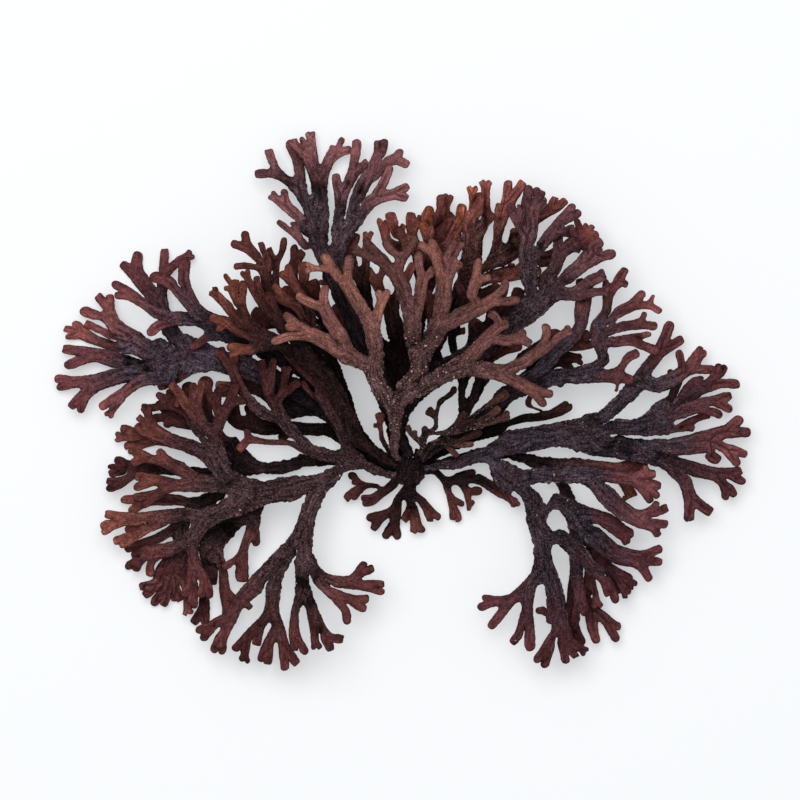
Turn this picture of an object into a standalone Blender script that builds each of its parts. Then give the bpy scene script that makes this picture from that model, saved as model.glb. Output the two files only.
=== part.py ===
"""Irish moss, one dried bunch as picked.

Flat, leathery, repeatedly forked fronds spread all round from one small holdfast. The bunch stands on
the flat underside of the holdfast and on the lowest tips. The origin is the middle of that underside,
+X runs along the longest side, +Z is up. Metres; the outlines below are in millimetres.
"""

import math
import random

import bpy
import numpy as np
from mathutils import Vector, noise
from mathutils.kdtree import KDTree

MM = 0.001
HOLDFAST_AT = (2.5, -2.5)  # where the holdfast stands on the sheet that the outlines are drawn on
HOLDFAST_RADIUS = 2.7
HOLDFAST_HEIGHT = 5.0

SLIMMER = 0.87  # every width below times this
TIP_WIDTH = 2.6  # width of a last blade
TAPER = 0.62  # width of a tip's end, against the blade's
CROTCH = 1.0  # how far out the forks part, against where straight blades would
CROTCH_MOST = 0.72  # most of a fork's first piece that is joined to the next fork
WIDEST = 6.6  # width of the broadest blade
STIPE_WIDTH = 1.5  # width where a frond leaves the holdfast
STIPE_LENGTH = 14.0  # over which a frond widens to its full width
TIP_THICKNESS = 0.75
STEM_THICKNESS = 1.35

ROLL = 24.0  # degrees by which a blade leans to either side along its way
RIPPLE = 1.3  # height of the slow waves along a frond
GAP = 0.42  # least air between two fronds where one crosses over the other
GRAIN = 1.15  # spacing of the probe points that keep fronds apart
REACH = 1.2  # probe points closer than this, seen from above, lie over each other
OWN_REACH = 0.75  # the same for two blades of one frond
STEEPEST = 0.8  # most that a blade rises for each millimetre along it
LOBED = 0.35  # share of the long tips that end in two lobes
ALONG = 8.0  # points of one frond nearer than this along it may lie close
SETTLE = 0.985  # how far a moved blade sinks back towards its own height each round
MOST_LIFT = 4.5  # most that a blade is lifted over its own height to clear another
ROUNDS = 420

TAN = (0.165, 0.066, 0.053)
RED = (0.095, 0.029, 0.022)
MAROON = (0.068, 0.024, 0.023)
SLATE = (0.058, 0.026, 0.031)
DARK = (0.042, 0.016, 0.016)
TWIG = (0.140, 0.055, 0.043)
ROOT = (0.040, 0.016, 0.014)

# Each frond: layer (a higher one lies over a lower one), height of its blade at distances from the
# holdfast, and its outline seen from above. A line of the outline is one stretch of blade, as points
# "x,y", and a line set further in forks off the line above it. "w4" sets a stretch's width, "u3" lifts
# its end by 3, "d3" lowers it by 3, "r50" rolls it by 50 degrees.

CROWN = """
-0.4,0.6 -1.7,3 -1.4,5.8 -1.3,9.5 -1.5,13.4 w4.4
  -4.2,17 -6.2,21 -6.6,24 w5.2
    -10,25 -13.5,27.2 w4.8
      -17.5,29.6 -23,32 w4.6
        -27,31.4 -32,29.8
        -26,34
          -28.6,33.2 r40
          -28.8,37
      -14.6,31.2 -17.5,35.5 -19,38.5 w4.2
        -22.5,39.6 -26,41.7
        -19,41 -18.5,44
    -6.3,28.5 -7,34.2 w4.8
      -9.5,37.8 -12,42 -13.4,44.6 w4.2
        -15.5,46 -17,48
          -19.2,51.6
          -23.4,48.2 w2.2
        -13,48 -12.4,51.6 w3
      -5.3,38 -4.4,40.4
        -5.8,42.6
        -2.8,42.8
  1.2,17.4 w5.6
    4.2,22 4.9,27 w5
      3.1,31.4 3,37 w4.9
        1,42.5 -1.2,46.6 w4.6
          -4.5,50 w3.4
            -8,51.2 -11.6,52.6
            -7,53 -8.9,55.6
          0.2,50.4 w3.4
            -2.6,52.8 -4.2,55 r40
            2.8,53.6 3.8,56.2
        5,42.5 5.6,45.8 w3.8
          4.6,49 4.6,52.4
          7.4,46.6 8.6,48.6
      8,31 10,34.4 w5.6
        10.6,39.5 10.9,45.2 w4.8
          9.6,49.4 8.4,52.2 w3.8
            7.4,55.4
            4.2,54.2
          12.4,49.2
            13.4,51.4 14.3,53.4 15.8,54.3 w2.2 u1
            15.4,48.6 w3
            12.2,52.4 13.6,55.2 u2 r50
        14,35.8 19,38.2 w4.8
          17.6,41.4 18.8,44.8 w3.6
            19.4,50.6
            22.4,46
          22.5,40 w4
            25.2,42.6 26.4,45.4
            26,39.8 29.6,40.2
    6.8,19.6 11,22 15.4,23.8 w5
      18,27 22,31 w4.4
        24.6,33.8 w3
          23.4,36.4 21.2,37.2 r50
          27,34.8
        26,30.2 29.4,30.8 w3.6
          30.7,33
          32.8,29.2
      19.6,23.2 25,22.2 w4.8
        29,20 32.8,17.8 w4
          37.8,16.8 w2.8
          36,13.9
        30,24.6 35.4,28.4 w3.6
          36.2,31.4 35.9,34.4
          39,31 42.4,33.2
"""

TOP = """
-0.9,1.2 -1.6,5 -2,10 -4,17 -6.6,24 -10,32 -14,41 -17.2,50 w5.8
  -20.2,54.6 w5.4
    -23.6,53.8 -25.6,56.4 w2.6
      -30.8,60.2 w1.9
      -26.8,60 w1.8
    -21.4,58.6 w5.6
      -24.8,60.4 -27,62.6 -28.6,64 w3.2
        -32.6,67
        -29.2,68.2 w2.2
      -25.4,68.8 w5.2
        -31,72.2
          -33.2,78.4
          -36.4,71.8
        -25.6,75 -26.8,78 -28,80.4 w3.2
      -20.4,70.4 w4.6
        -22.7,76.4 w4
          -22.6,82.6
          -24.8,81.2 w2.2
          -27.4,80.4
        -17.8,75.4 -16.4,77.2 w3.4
          -16.9,79.4 w1.8
          -14.2,81.2 w1.8
          -12.2,78.2 w2.4
  -14.6,56.6 w6.6
    -15,63 -14.7,66.6 w3.2
      -16.3,72 w2.8
      -12.7,70.2 -11.6,72.4 w3.4
        -11.3,76 -10.9,80.6 w2.8
        -7.8,75.3 w2.5
    -11.4,61 w5.2
      -10.4,66.4 -8.6,70.4 -6.8,72.2 w4
        -5.2,77.2 w3.6
          -5.6,80.6
          -3.8,80.6
        -3,75 -1.2,75.6 w3.2
          0.3,78
          2.4,73.8
      -8.4,64 -5.8,66 w4
        -4.1,69.8 -2.4,74 w2.6
        -1.4,66.9 w3.4
          2.2,69
          2.2,65.5
"""

TOP_BACK = """
1.7,1.4 -0.9,6 -1,12 2.4,20 3.4,30 5.6,42 7.6,51 w5
  2.6,54.2 w4.8
    -3.1,55 -3.9,57.8 w2.8
      -5.5,60.9 w1.8
      -3.3,60.4
    -0.4,56.8
      -2.8,62.4 w3.2
      0.8,59.2 r40
    3,58.2
      2.7,62.6 w3
      5.4,61.4 d1
  7,56.4
    6.6,60.6 7.4,63.8 w3.6
    5.2,59.8
  10,56.8 w4.2
    9.8,61.8 w3
      10.1,66.8 u1
      8.2,60.8
    11.8,61.2 w3.4
      12.1,66.8
      13.4,62 w3 u2
  12.4,54.4 w4
    15.4,60.4 w3.4
      15.5,64.6 w3
      17,62
    17.2,56 18.4,56.4 r40
"""

UPPER_LEFT = """
-1.2,-1.2 -5,0.9 -9.6,4.8 -14,9.4 -20,14.6 -28,19 -36,22.6 -45,25.4 -51.5,26.4 w6.4
  -56,31 -58.6,35.6 -60.4,40.4 w5.2 d3
    -63.6,44 -66.2,47.4 w4.8
      -65.6,52.6 w3.2
      -69.9,49.8 w2.8
    -59.4,44.6 -58.9,47 w3.4
      -58.9,53.6 w2.6
      -55.4,50.2 -51.9,52 w2.6
  -57.4,25.2 w8
    -62,27.6 -66,29.6 w6
      -70.6,33.4 -72.9,36.6 w4.6
        -73,39 w4.2
          -76,42
          -72.5,42
        -76.4,36.8 -80,38 w3
      -72,31.4 -75,33 -79,34.9 w2.2
      -72,29 -77,30.8 -79.8,32.4 w3
        -81.7,35.2 w2.2
        -84.4,33.6 w2.4
        -83.6,31.2 w1.6
    -66,24 -72,25.8 -76.6,26.8 w4.6
      -84.8,28.4 w2.9
      -84,23.8 w3
    -63,22.4 -70,21.6 -76.6,19.6 w5
      -82,19.9 w3.8
        -86.4,21
        -85.9,18.6
      -79.4,16 w4
        -82.8,13.4
        -79.8,12.2
    -64,20.6 -69,17.2 w3.8
      -75,13.4
      -73.2,11.2 w2.2
  -56.6,20.8 w4 d2
    -60.8,18.8
    -62.6,20
"""

UPPER_LEFT_MID = """
-1,-0.5 -5.4,1 -10.6,5 -14.4,12 -18.4,18.4 -25,23.4 -33,27.4 -41,31.2 -46,33.4 w5
  -49.6,36.6 -52.8,40.6 w4.4
    -53.9,44.8 -53.6,51.2 w3.5
    -57.6,45 -62.4,46.5 w3.5
  -51.6,35.6 -56.4,35.8 w4.2
    -60.2,34 -63,31.6 w3
    -60.6,37 -64.4,39.8 -67.6,42 w3.2
      -71.9,44.8
      -71.2,41.4
  -49.4,30.2 -52.4,28.4 w2.4 d2
"""

TOP_LEFT = """
-0.6,-0.1 -4.8,1.8 -10,5.8 -12.8,12.6 -15.6,20.6 -19,27.4 w4.4
  -24.4,32.4 -29.2,37.2 -32,42.6 w4
    -33.4,48.2 w4.2
      -35.4,50.8 -38.1,53.4 w2.8
        -42.2,54.5 w2.6
        -38.8,57.6 w2.6
      -38,48.8 -41.4,48.7 w2
      -34.9,54.9 w1.8
    -31,49.4 w2.8
      -32.7,53.6 w1.5
      -29.2,53.2 -28.7,55.9 w2
  -22.2,34 w3.8 u2
    -25.4,38.4 -28.6,40.2 w3 u2
      -33.8,41.9 w2.4
      -31.6,44.1 w2.4
    -23.4,40 -26.2,43.8 -27.6,46 w2.8
      -30.1,46.9
      -27.9,49.2
"""

LEFT_CLUSTER = """
-0.9,-0.9 -5.2,1.6 -10.4,5.8 -13.6,12.8 -17.6,20.4 -23.6,26 w4.6
  -29.4,29.2 -34.4,30.4 w4
    -38.2,34.4 w3.4
      -40,39.8 w3.2
        -41.2,43.2 w3
          -43.8,43.2 w2
          -43.8,46.8 w1.5
          -40.8,45.8 w2.2
        -38.9,45.4 w2.4
      -43,38.8 -46.8,42.8 w3
    -39.4,32.4 -43.2,34.8 w3.6
      -47.6,36
      -45.6,32.4
    -37.2,27.8 -39.8,28.2 w3.4 u1
      -43.2,28.8 w2.6
      -42.4,26.2 w2.2
  -28.4,33 -31,36.2 w4.4 u1
    -33.8,39.2 w3.6
      -36.2,42.2 -38.7,47.4 w2.4
      -34.9,43 -35.8,46.4 w2
    -31.4,38.8 -33,41.8 w2.6 u3
"""

LEFT = """
-1.2,-3.4 -5,-2.4 -9,-0.6 -12.6,0.9 w4.4
  -14,6 -16.6,12 -19.4,17.6 w3.8
    -22.6,21.4 -25.4,24.4
      -29,27.8
      -26,29
    -18,22.6 -17.6,26.4
    -21.4,16.2 -24.6,20.2 d1 w2.6
  -17.8,1.6 -22.6,3.2 w4
    -26.7,7.4 -29.8,11.2 w3.6
      -31.4,14.4 w3.4
        -32.8,18.6 w2.8
          -34.8,25.8
          -31.4,26.4 r40
        -29,17.4 w2.8
          -28.2,24
          -24.8,20.4
      -34.4,12.4 -38.8,17 -42,23.4 w3.4
        -45.2,28
        -41,27.6
    -27.6,4.8 -33,5 -37.4,5.8 w1.8 d1
      -40.6,2.6
      -38.4,8.4
  -16,-2.4 -19.4,-5 w4.4
    -26.6,-6.4 -33.6,-7.6 -38.4,-8.2 w7.4
      -43,-3.4 -46.6,2 w5.2
        -46.4,7 w3.8
          -44.6,11.6 w3.4
            -42.4,15
              -40.4,20
              -38.2,15.5
            -46,14.8
              -45.2,18.8
              -48,18
          -49.4,9.4 -51.6,13.4 w3.6
            -54.4,16
              -57.4,19.8
              -56,13.4
            -51.6,19.8
            -49.2,20.6
        -51.4,3.6 -57,5.4 w4.2
          -62,7.8 w3.4
            -66.4,9.5
            -65.6,11.4
            -63.6,13.8
        -50.2,7.4 -53.6,12.6 -57,15 w2.8 d2
          -61,17.2
          -64.4,13
          -57.6,18.2
      -45,-5.4 -51.4,-5 w5.2
        -54.6,-2 -58.8,0.4 w4.2
          -64,1.4
            -66.8,2.6
            -67.3,-0.6
          -60.4,3.2
        -57.2,-5.6 w4.2
          -61.6,-4.4
            -66.4,-3.4
            -66.6,-6.6
          -61.4,-8.4 w3
            -64.6,-11.2
            -67,-9
      -43.4,-11.6 -48.4,-14 w6
        -54.6,-13 -59.6,-14 w4.2
          -65.4,-14.2 -69.2,-14.2 w3.8
            -74,-12.9
            -72.4,-15.7 w3.2
              -74.8,-16.2
              -74.3,-17.9
          -64.2,-16.6
            -68.8,-17
            -67.6,-18.9
              -71.8,-20.1
              -70.3,-21
        -52,-19 w4.8
          -57.4,-21.6 -62,-22.8 w4
            -67.5,-23.8
            -65.6,-24.9
              -68.5,-26.6
              -66.2,-27.2
            -62.4,-25.6
              -62.5,-28.6
          -51.4,-25.4 w3.8
            -51.9,-31
              -51.9,-36 w3
              -54.6,-33.4
            -48.6,-30
              -47.4,-34
              -50,-34
    -21.4,-8.8 -23.2,-13.6 -24.4,-18.8 w5
      -27.6,-21.4 -31.3,-26.4 w4.8
        -36.2,-30.8 -39.3,-34 w5
          -37.2,-36.4 d1
          -42,-38.2 w3.6
            -47.2,-41
              -51.1,-42.3
              -49.6,-44.5
            -44.4,-43.4
              -46.8,-47.6
              -44.7,-48
        -31.6,-31.2 -32,-36.8 w4.6
          -35.4,-41.2 w3.4
            -38.6,-44.4
              -41.7,-47
              -39,-49.8
            -36,-46
          -30.6,-41
            -33.2,-46.4 w3
              -35,-49.7
              -33.2,-50.8
            -28.9,-46.4 w3.2
              -28.7,-52
              -25.4,-50.7
      -24,-23.6 w4.4
        -24.2,-31.8 w4.2
          -26.4,-38.2
            -26.2,-43.6
              -26.1,-47.2
              -23.4,-47.9
          -21.4,-38.6 w3.4
            -20.9,-46.4 w2.8
            -18.4,-43.4
              -17,-47.2
              -13.9,-44.1
        -20.2,-28.8 w3.8
          -16.4,-29.7 -12.2,-29.9
            -9.8,-27.2
              -8.7,-24.8
              -6.2,-26.2
            -7.6,-30.8
              -3.7,-30.3
              -4,-32.5
          -16,-33.2
            -13.6,-37
              -13.2,-40.4
            -11.4,-34.7
              -7.5,-33.9
              -8.6,-37
"""

LEFT_BACK = """
-1.2,-2.6 -6,-1.2 -11,0.8 -17,1 -23,0.6 -30,-1.4 -36,-1.4 -40.6,0.8 w4
  -43.8,5 -47.4,9 w3.6
    -49.4,13 w4
      -48.4,21.6 w4.4
      -53.8,20 w4.6
    -52.6,9.4 -57,11.2
      -60.9,15
      -62,10.9
      -58.8,8.6
  -47,2 -54,4.4 w4
    -60.6,6
      -65.4,6.8
        -70,8.4
        -71.2,6.3
      -65.8,4.4
        -69.2,3.7
        -68,2.2
  -46,-2.6 -53,-2.6 w3.4
    -60,-1.6 -65.6,-1.8 w3.4
      -69,-1.2
        -71.4,0.6
        -73,-1
        -72.9,-3.1
      -69.6,-5
        -73.6,-4.7
        -73.5,-6.7
  -45,-7.6 -50.6,-10.6 w4
    -57.4,-9.4 -63.6,-9.6 w3.4
      -70,-9.4
      -67.8,-12.6
    -54.6,-15.6 w3.6
      -60,-18.8 -64.6,-20.8
        -69,-21.8
        -63.4,-23.6
      -54.6,-21.6 -57,-27 w5.6
        -53,-32
          -52.9,-38.2
          -51.4,-36.6
        -60.6,-30.2
          -65.4,-31.4
          -64.3,-33.6
        -58.6,-32.2 w4.6
          -61.9,-35.9
          -59.6,-36.3
        -56.2,-32.4 w3 d1
          -56.3,-35.2
          -54.9,-35.2
  -36.4,-8 -37.8,-12.8 w6.4
    -44.8,-17 -47.2,-21.4 w7.4
      -47.6,-26 w5
        -46.8,-31.2 w3
        -49.2,-37.2 w3.2
          -52.1,-40.6
          -48.6,-40.9
      -44.2,-27.4
        -43.8,-32.4 w3.2
          -43,-37.9 w2.8
          -40.4,-35.2
    -36.9,-16.8 w4.2
      -36,-21
      -39.4,-23.4
        -44.4,-26.6 w2
        -39.4,-30.4 w4
"""

INNER_LEFT = """
-1.3,-1.9 -5.4,-0.2 -9.6,2.6 -12.6,5.6 w4.2
  -16.8,11.4 -21.6,13.4 -26.6,14.6 w4.4
    -33,16.8 -38,20 w4.2
      -42.4,23
        -46.6,24.4
        -46,27.2
      -39.8,24.4
        -40.8,28
        -37,27.6
      -42.4,18.6
        -46.2,19.4
        -45,16.6
    -31,17 -32.4,19.6 -33.3,22.6 w3.6
      -34,25.2
      -31.5,26.2
    -28.8,18.8 w3.6
      -28.2,22.4
        -27.4,24.6
        -29.2,25.2
      -25.3,20.6 w3
    -21.4,19.4 -20.4,24.6 w4
      -22.6,29
      -18.4,29.6
  -17.4,8 -22.6,8.2 -27,8.4 w3.8 d1
    -31.6,8.6 -36,9.2 w4.6
      -41,10.4 w4.6
        -44.6,13.6
        -41.4,15
      -38.4,14.4
    -30.4,5.6
"""

RIGHT = """
6,-1.6 9.6,-0.9 14.4,-0.2 19,1.4 22,2 w4
  27,4.6 33.6,6 40,7 46.6,6.8 w7
    51,11.6 56,16.4 59.8,20.2 w4.6
      62,24 65,28 w3.6
        67.6,35.2 w3
        71,31 w3
      64,19.2 68,20.8 w4.6
        72,23.4 w4.4
          75.8,28.4 w3.8
          78.6,23
    53.6,8.8 59.6,8.8 65.6,11 w5.6
      67.4,15.8 69,20 w2.4
        70.2,24.2 69.2,28 u1 w2.6
        66.8,23
      69.8,14.6 w4.4
        73.6,18.6
          75.6,21.2 r60
          78.8,21.6
            81.2,24.3
            79.7,24.6 r40
          79.6,19.6 84.7,19.4 w2.8
      69.8,12.4 74,14 w4.2
        79,15.2
          83,16.9 w3
          82.8,12.8
        77.6,12.6 80.2,11.5 d1
      67.4,8 71.4,9.2 w3.6 d2
        77.2,12.2 w2.4
        73.6,8
    53.8,3.8 60,2.8 w6.6
      67.6,3.8 76.8,5.3 w5.2
        81.4,7.6 w3.6
          85.4,11.3 w3
          87.6,7.5 w3
        81.4,3.2
          86.5,1.8
          84.5,-0.8
        77.2,1.8 79.6,0.1 w3.6 d2
      64.8,1 68.3,-1 w4.8
        73.4,-1.8 78.6,-3 w4.4
          82.4,-2.9
            85.6,-2
            86.2,-5.2
          81.4,-6.4
            83.7,-8.5
            80.9,-9.5
        71,-5 72.4,-9.2 w3.9
          71.9,-15 w3
          78.1,-13 w3.2
  24.8,-1.6 28.4,-4.8 w6.4
    34.6,-3.2 42,-3.2 w4.8
      47.4,-3.6 w4.6
        53,-3.6 57.6,-4.2 w4
          61,-3
            63.8,-2.8
            60.8,-0.8
          61,-6.2
            64.9,-5.8
            64.3,-8.8
            62.6,-10
        50.4,-7.6 54.8,-11.6 59,-14 w5.4
          63,-12.2
            66.9,-11.1
            64,-9.8
          62.8,-15.6 w4
            66.8,-15.3
            64.2,-18.6
    26.6,-7.2 29.6,-11 w2.8 d2
    32.4,-8.6 33.9,-13 w5.4
      38.8,-9.6 43.6,-13 w4.8
        48,-18.2 53.6,-22.8 w6
          59.4,-24.3 w4.8
            65.2,-21.4
            65.4,-25
            62.4,-29.7
        51.4,-14.6 56,-18 w4.8
          56.7,-20.8
          58.4,-17.6
      35.6,-19 w5.5
        39.4,-18.4 44,-22.4 w4.6
          47.4,-26.2 w4
            51.2,-29.6
              53.9,-35.2
              51.8,-33.8
            53.8,-27.8
              56.8,-33.2
              58.4,-31
          44,-28 w4
            44.8,-34.4 w3.4
              43.4,-41.8
              45.8,-38.4
        35.8,-26.2 w5
          31.6,-31.8 w4.4
            26.8,-34.9 w3.4
              22.6,-34.6
                20.4,-33.5
                19.2,-36.5
              22.2,-41.5 w2.8
            31.4,-38.6 w3.8
              29.6,-42.6
                27.6,-45.3
              32.3,-47.2 w3.2
          38.4,-32 39.2,-40 w5
            37,-45.6
              33.5,-50.1
              35.7,-51.3
            41,-44.4 w4
              41.3,-50.2
              44,-49
              46.5,-47.5
            35.8,-37 d1
              33.6,-37
"""

RIGHT_BACK = """
5.8,-0.9 12,0.2 20,2 27,2.2 33,0.2 39,-1.2 w3.4
  46.4,-0.8 52.6,-1.8 w3.8
    57.4,-1
      62.2,-1.2 w3
      60,1.4 u1
    55.8,-5.2 57.6,-8.2
      58.4,-8.8 w3
      55.6,-9.2
  41.6,-8.6 44.2,-15.4 w4.4
    48,-21.8 w4
      52,-26.6
        58,-29.4
        55.2,-33
      47.2,-29.4
        49.1,-36.2
        47.2,-33.6
    44,-24 44,-31 w4.2
      47.8,-37 w3.8
        52.2,-40.4
          55.2,-41.4
          54.3,-44.8
        48,-41.6 w3.6
          49.2,-45.3
      42.4,-38.4 w3.6
        43.4,-42
          45.8,-45.8
          42.8,-45.6
        40.4,-43.4
  36.4,-5.2
"""

RIGHT_MIDDLE = """
5.2,0.4 11,4.9 17.4,8.8 21.6,12.2 w2.8
  25,15.8 29,18.4 w4.6
    36.4,20.8 42,21.4 w4.8
      47.4,22.2 w4.6
        50.4,25.4 49.6,29 w3.6
          49.4,32.4 w4.4
            51.2,37.6 51.7,41.8 w3
              54.2,45 w2.8
                56.3,48.4
                56.7,43.9
              51,45.6 w2.2
            53.8,37 w3.4
              58,39.2 w3
                60.8,42.7
                61.8,39.2 w2.4
                  63.2,41.8 w1.4
                  65,37.4 w2
            55.2,33.8 59.6,34.4 w3
              64,33.8 w2.6
              60.8,37.4 w2
          53,29.9 57,30.4 w3.4
            61.6,28.6 64.4,27.4 w2.8
            62.4,32 w1.8
        53.8,21.6 w4.4
          56.6,26 59.4,27.4 w2.8
          58,20.2 w3
          53.6,17.6 w1.4
    34.4,22.6 38.4,27.2 w4.2
      42.2,30.4 44.6,33.6 w4
        45.2,38 45.8,42.4 w4.8
          44.4,46
          47.2,45.6
"""

UPPER_RIGHT = """
2.4,1.5 -0.2,6 -0.2,12 4,18 10,22.4 17,26.4 23.6,31 29,35.4 33.8,39.4 w6.6
  32.2,44.6 31.6,50 w4.8
    31.8,56 w4.4
      29.2,60.4 w3.4
        27,64.4 w3
        29.9,64
      32.2,62.6 w3.8
        31.9,68.8 w2.8
        34.2,66.2
          33.9,68.4
          35.6,67.8
        36.6,64.8
    35.4,54.2 38.2,57.4 w3.4
      40.6,60.4
        43.4,64.1
        45,62.5
      42.2,57.4
        44.4,56.4
        43.4,58.4
  36.6,43 w6
    38.2,48 39.6,52.2 w4
      39,57.4 w3
      42.4,54 w3.4
        44.4,55
        45,52.6
    41.2,45.8 45,49 w4.4
      48.2,51.8 w3.8
        50.5,55.5 w3.2
        49.9,53.2
        53.6,52.1 w3
      46.6,53.2 45,53.4
    43,41.8 w4.8
      48.4,42.3 52,42.7
      47.2,45 51,46.9 w3.6
"""

UPPER_RIGHT_BACK = """
2.9,1.3 0.3,6 -0.4,12 3,20 8,29 12,37 15.6,43.2 17.6,46.4 w5.4
  18,51 17.8,56 w6.2
    18.4,62.4 w4.6
      17.8,68.6
      19.8,67.6
      15.8,60.6 15.2,64 d1
    21.8,61.4 w4.4
      21.1,69.9 w2.8
      24.4,61.2
  24.2,50.8 w5
    24.6,58.2 w3.4
      26,64 w4
        27,70.3 w3
        30.9,70.2 w3
        25,62.8
    29.2,54 w4.6
      28.4,58.2
      31.8,58.4 33.8,61.2 w4.6
        35,65
          36.2,66
          33.6,66.8
        37.6,63
          38.8,66.4
          41.7,65.6
      36,50.6 42.4,54 w4.6
        46,56.8 w5.6
          43.9,60.6
          46,59.7
          48.1,59
          49.4,57
  21.6,45.8 28,47.2 w3.4
    31,50.2
    27.6,49.4 r40
    33.4,47.4 35.2,48.1
"""

INNER_TOP = """
0.5,1.1 -1.7,6 -2,12 -2.4,18 -1.6,25 w5
  -1,32 -2.4,38.4 w5.2
    -5.8,44.6 w3.6
      -8.4,48.4
      -3.4,49.4
    0.2,44.4
      -0.4,48.4
      3.6,50
  -7.6,33.4 -9,39.4 w4.6
    -9.4,45 w4.6
      -12.4,49.4 -12.8,53 w4
        -10.8,57.4
        -12.9,55.4
      -8.6,52.4
        -8.1,57.4
    -14.4,43
      -19.4,45.6
      -16.6,47.4
  -12,28.4 w5
    -15,34.4 -16.4,39.4 w4.2
    -18.2,32.6 w5
      -20,37.6 -22.2,45.6 w4.2
      -24,37 w5
        -29.2,43.8 w3.6
        -24.8,42.2 w4
          -27,47.4 -25.9,51 w3.2
            -26.6,54.3
            -24,52.9
          -24,46.4 -24.4,50.4 w3.2
        -29,36.4 w5.4
          -34.6,40.4 w4.4
          -33,34.6 -37.2,38.2 w3.8
"""

INNER_RIGHT = """
5.5,-0.3 12,3.2 18,6.1 24.4,8.6 w2.8
  30.4,10.8 36,11.6 w2.6
    40.2,13.2 w2.8
      41.8,15
      42.8,14
    31.6,14.4 32.6,16.8 w1.8
  27.4,6 33,6.8 w2 d1
  24.4,13.6 28,18 32.6,21 w4.6
    37.4,21.6 w3.6
      42.4,20.8
      40.6,19
    35,24 39.6,26 w5.2
      45.4,25.6 w3
      43.2,22.8
"""

INNER_UP = """
4.7,1 8.4,4.2 14.4,9.2 15.9,12.6 w2.8
  15.2,18 16,21.6 w2.2
    17.8,26.4 19.6,32 w4.6
      24,35.8 w4.6
        21.4,40.4
        26,44
        28.8,39.6 29.6,43.4 w4
        27.9,33.4 w3
      18.2,35.8 w4.6
    15,24.6 13.4,27.8 12.8,32 w2.2
      16.2,32.8 w2.6
      16.6,40.4 w4.4
        14,44.8
        20.8,46.6
        24.4,43.4 w3.4
    12,22.6 9,26 8.4,31.4 w3.4
      8,38.4 w4.4
        6.6,43
        10.6,44.4
  18.6,16.8 20.4,20.8 w3
    23,23 27,22.8 w3.4
      31,25.6 36.6,29.2 43,30.2 w4.6
        47.6,32 w3.4
        48.4,29.4
        35.6,31.6 w3
    21.6,25.4 25.4,28 w3.4
      30.2,29
      27.6,30.8
"""

TWIG_RIGHT_UPPER = """
4.6,1.6 5.6,4.2 w2.8
  3.4,6.4 w2.4
    1.4,9.4 w1.6
    3.6,8
  6.1,7 w3
    5.8,9.1
    12,7.6 w2.3
      14.4,9.6
        16.4,12.7 w2.1
        19,10.4 w1.7
      19.6,9.6 w1.8
        23.4,12.2 24.8,13.8
        27.3,11.7
    8.8,8.4 8.8,11.2 w1.4 d2
      9.6,14.8 12.6,17 w1.6
        13.8,18.8
      7.4,12.6
        6.2,12.6
        7.1,13.6
"""

TWIG_RIGHT_LOWER = """
5.2,1 7.6,4.4 10.2,5.2 w2.3
  13.6,4.6
    16.6,6.2 w2
      20.2,7.7
    18.2,4.5 w1.9
  13,2.8 14.3,1.4 w1.9
  15.8,9.8 22,14.4 w1.4
    27.2,17.5
"""

TWIG_LEFT = """
-1.2,1.4 -2.9,2.9 -4.6,6 w1.5
  -5,8.8 w1.3
    -6.8,9.1
    -5.1,11
      -5.8,12.7
      -4.4,12.4
"""

SPRIG_LOW_LEFT = """
1.4,2.6 0.8,-0.8 -0.6,-3.8 -2.2,-5.8 -4.2,-7.3 w3.2
  -7,-9.3
    -9.5,-10.6 w2.4
    -9.9,-9
  -5.8,-6 -8.6,-5.8 w1.5
    -10.4,-5.2 w1.3
      -12.2,-4.9
      -12.8,-2.7
    -10.3,-6.7
      -11.9,-8.2
        -13.9,-9.7
        -11.4,-9.5
"""

SPRIG_LOW_MIDDLE = """
4.4,3 3.6,-0.6 2.8,-4.6 2,-7.2 w4.6
  -0.6,-9.4 -1.2,-12 w2.8
    -5.2,-13.8 w2.6
      -8.6,-13.8
      -7,-17.2
    -1.7,-16
      -4.2,-19
      -0.4,-19.4
  2.9,-11.8 w3.4
    0.7,-14.8 d1
    3.9,-15.8
      3,-17.8
      5.8,-17.5
  5.4,-9.8 w2.8
    7.4,-12.7
      7.5,-15
      10,-14.1
"""

SPRIG_LOW_RIGHT = """
5.8,-2.4 8.6,-2.2 11,-4.6 w3.6
  12.6,-9 w2.6
    13.5,-12.2 w2.4
      12.9,-14.9
      14.7,-15.1
    16,-10.8 w1.8
  14.6,-4.2 w3.8
    16.5,-7.2 w2.6
      17.2,-10.4 w2
        17,-12.2 w1.5
        18.4,-9.8
      20.4,-7
    19.4,-4.2 24,-7 w3.5
      28.9,-10.3
    18.8,-2.4 w2.4
"""

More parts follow.
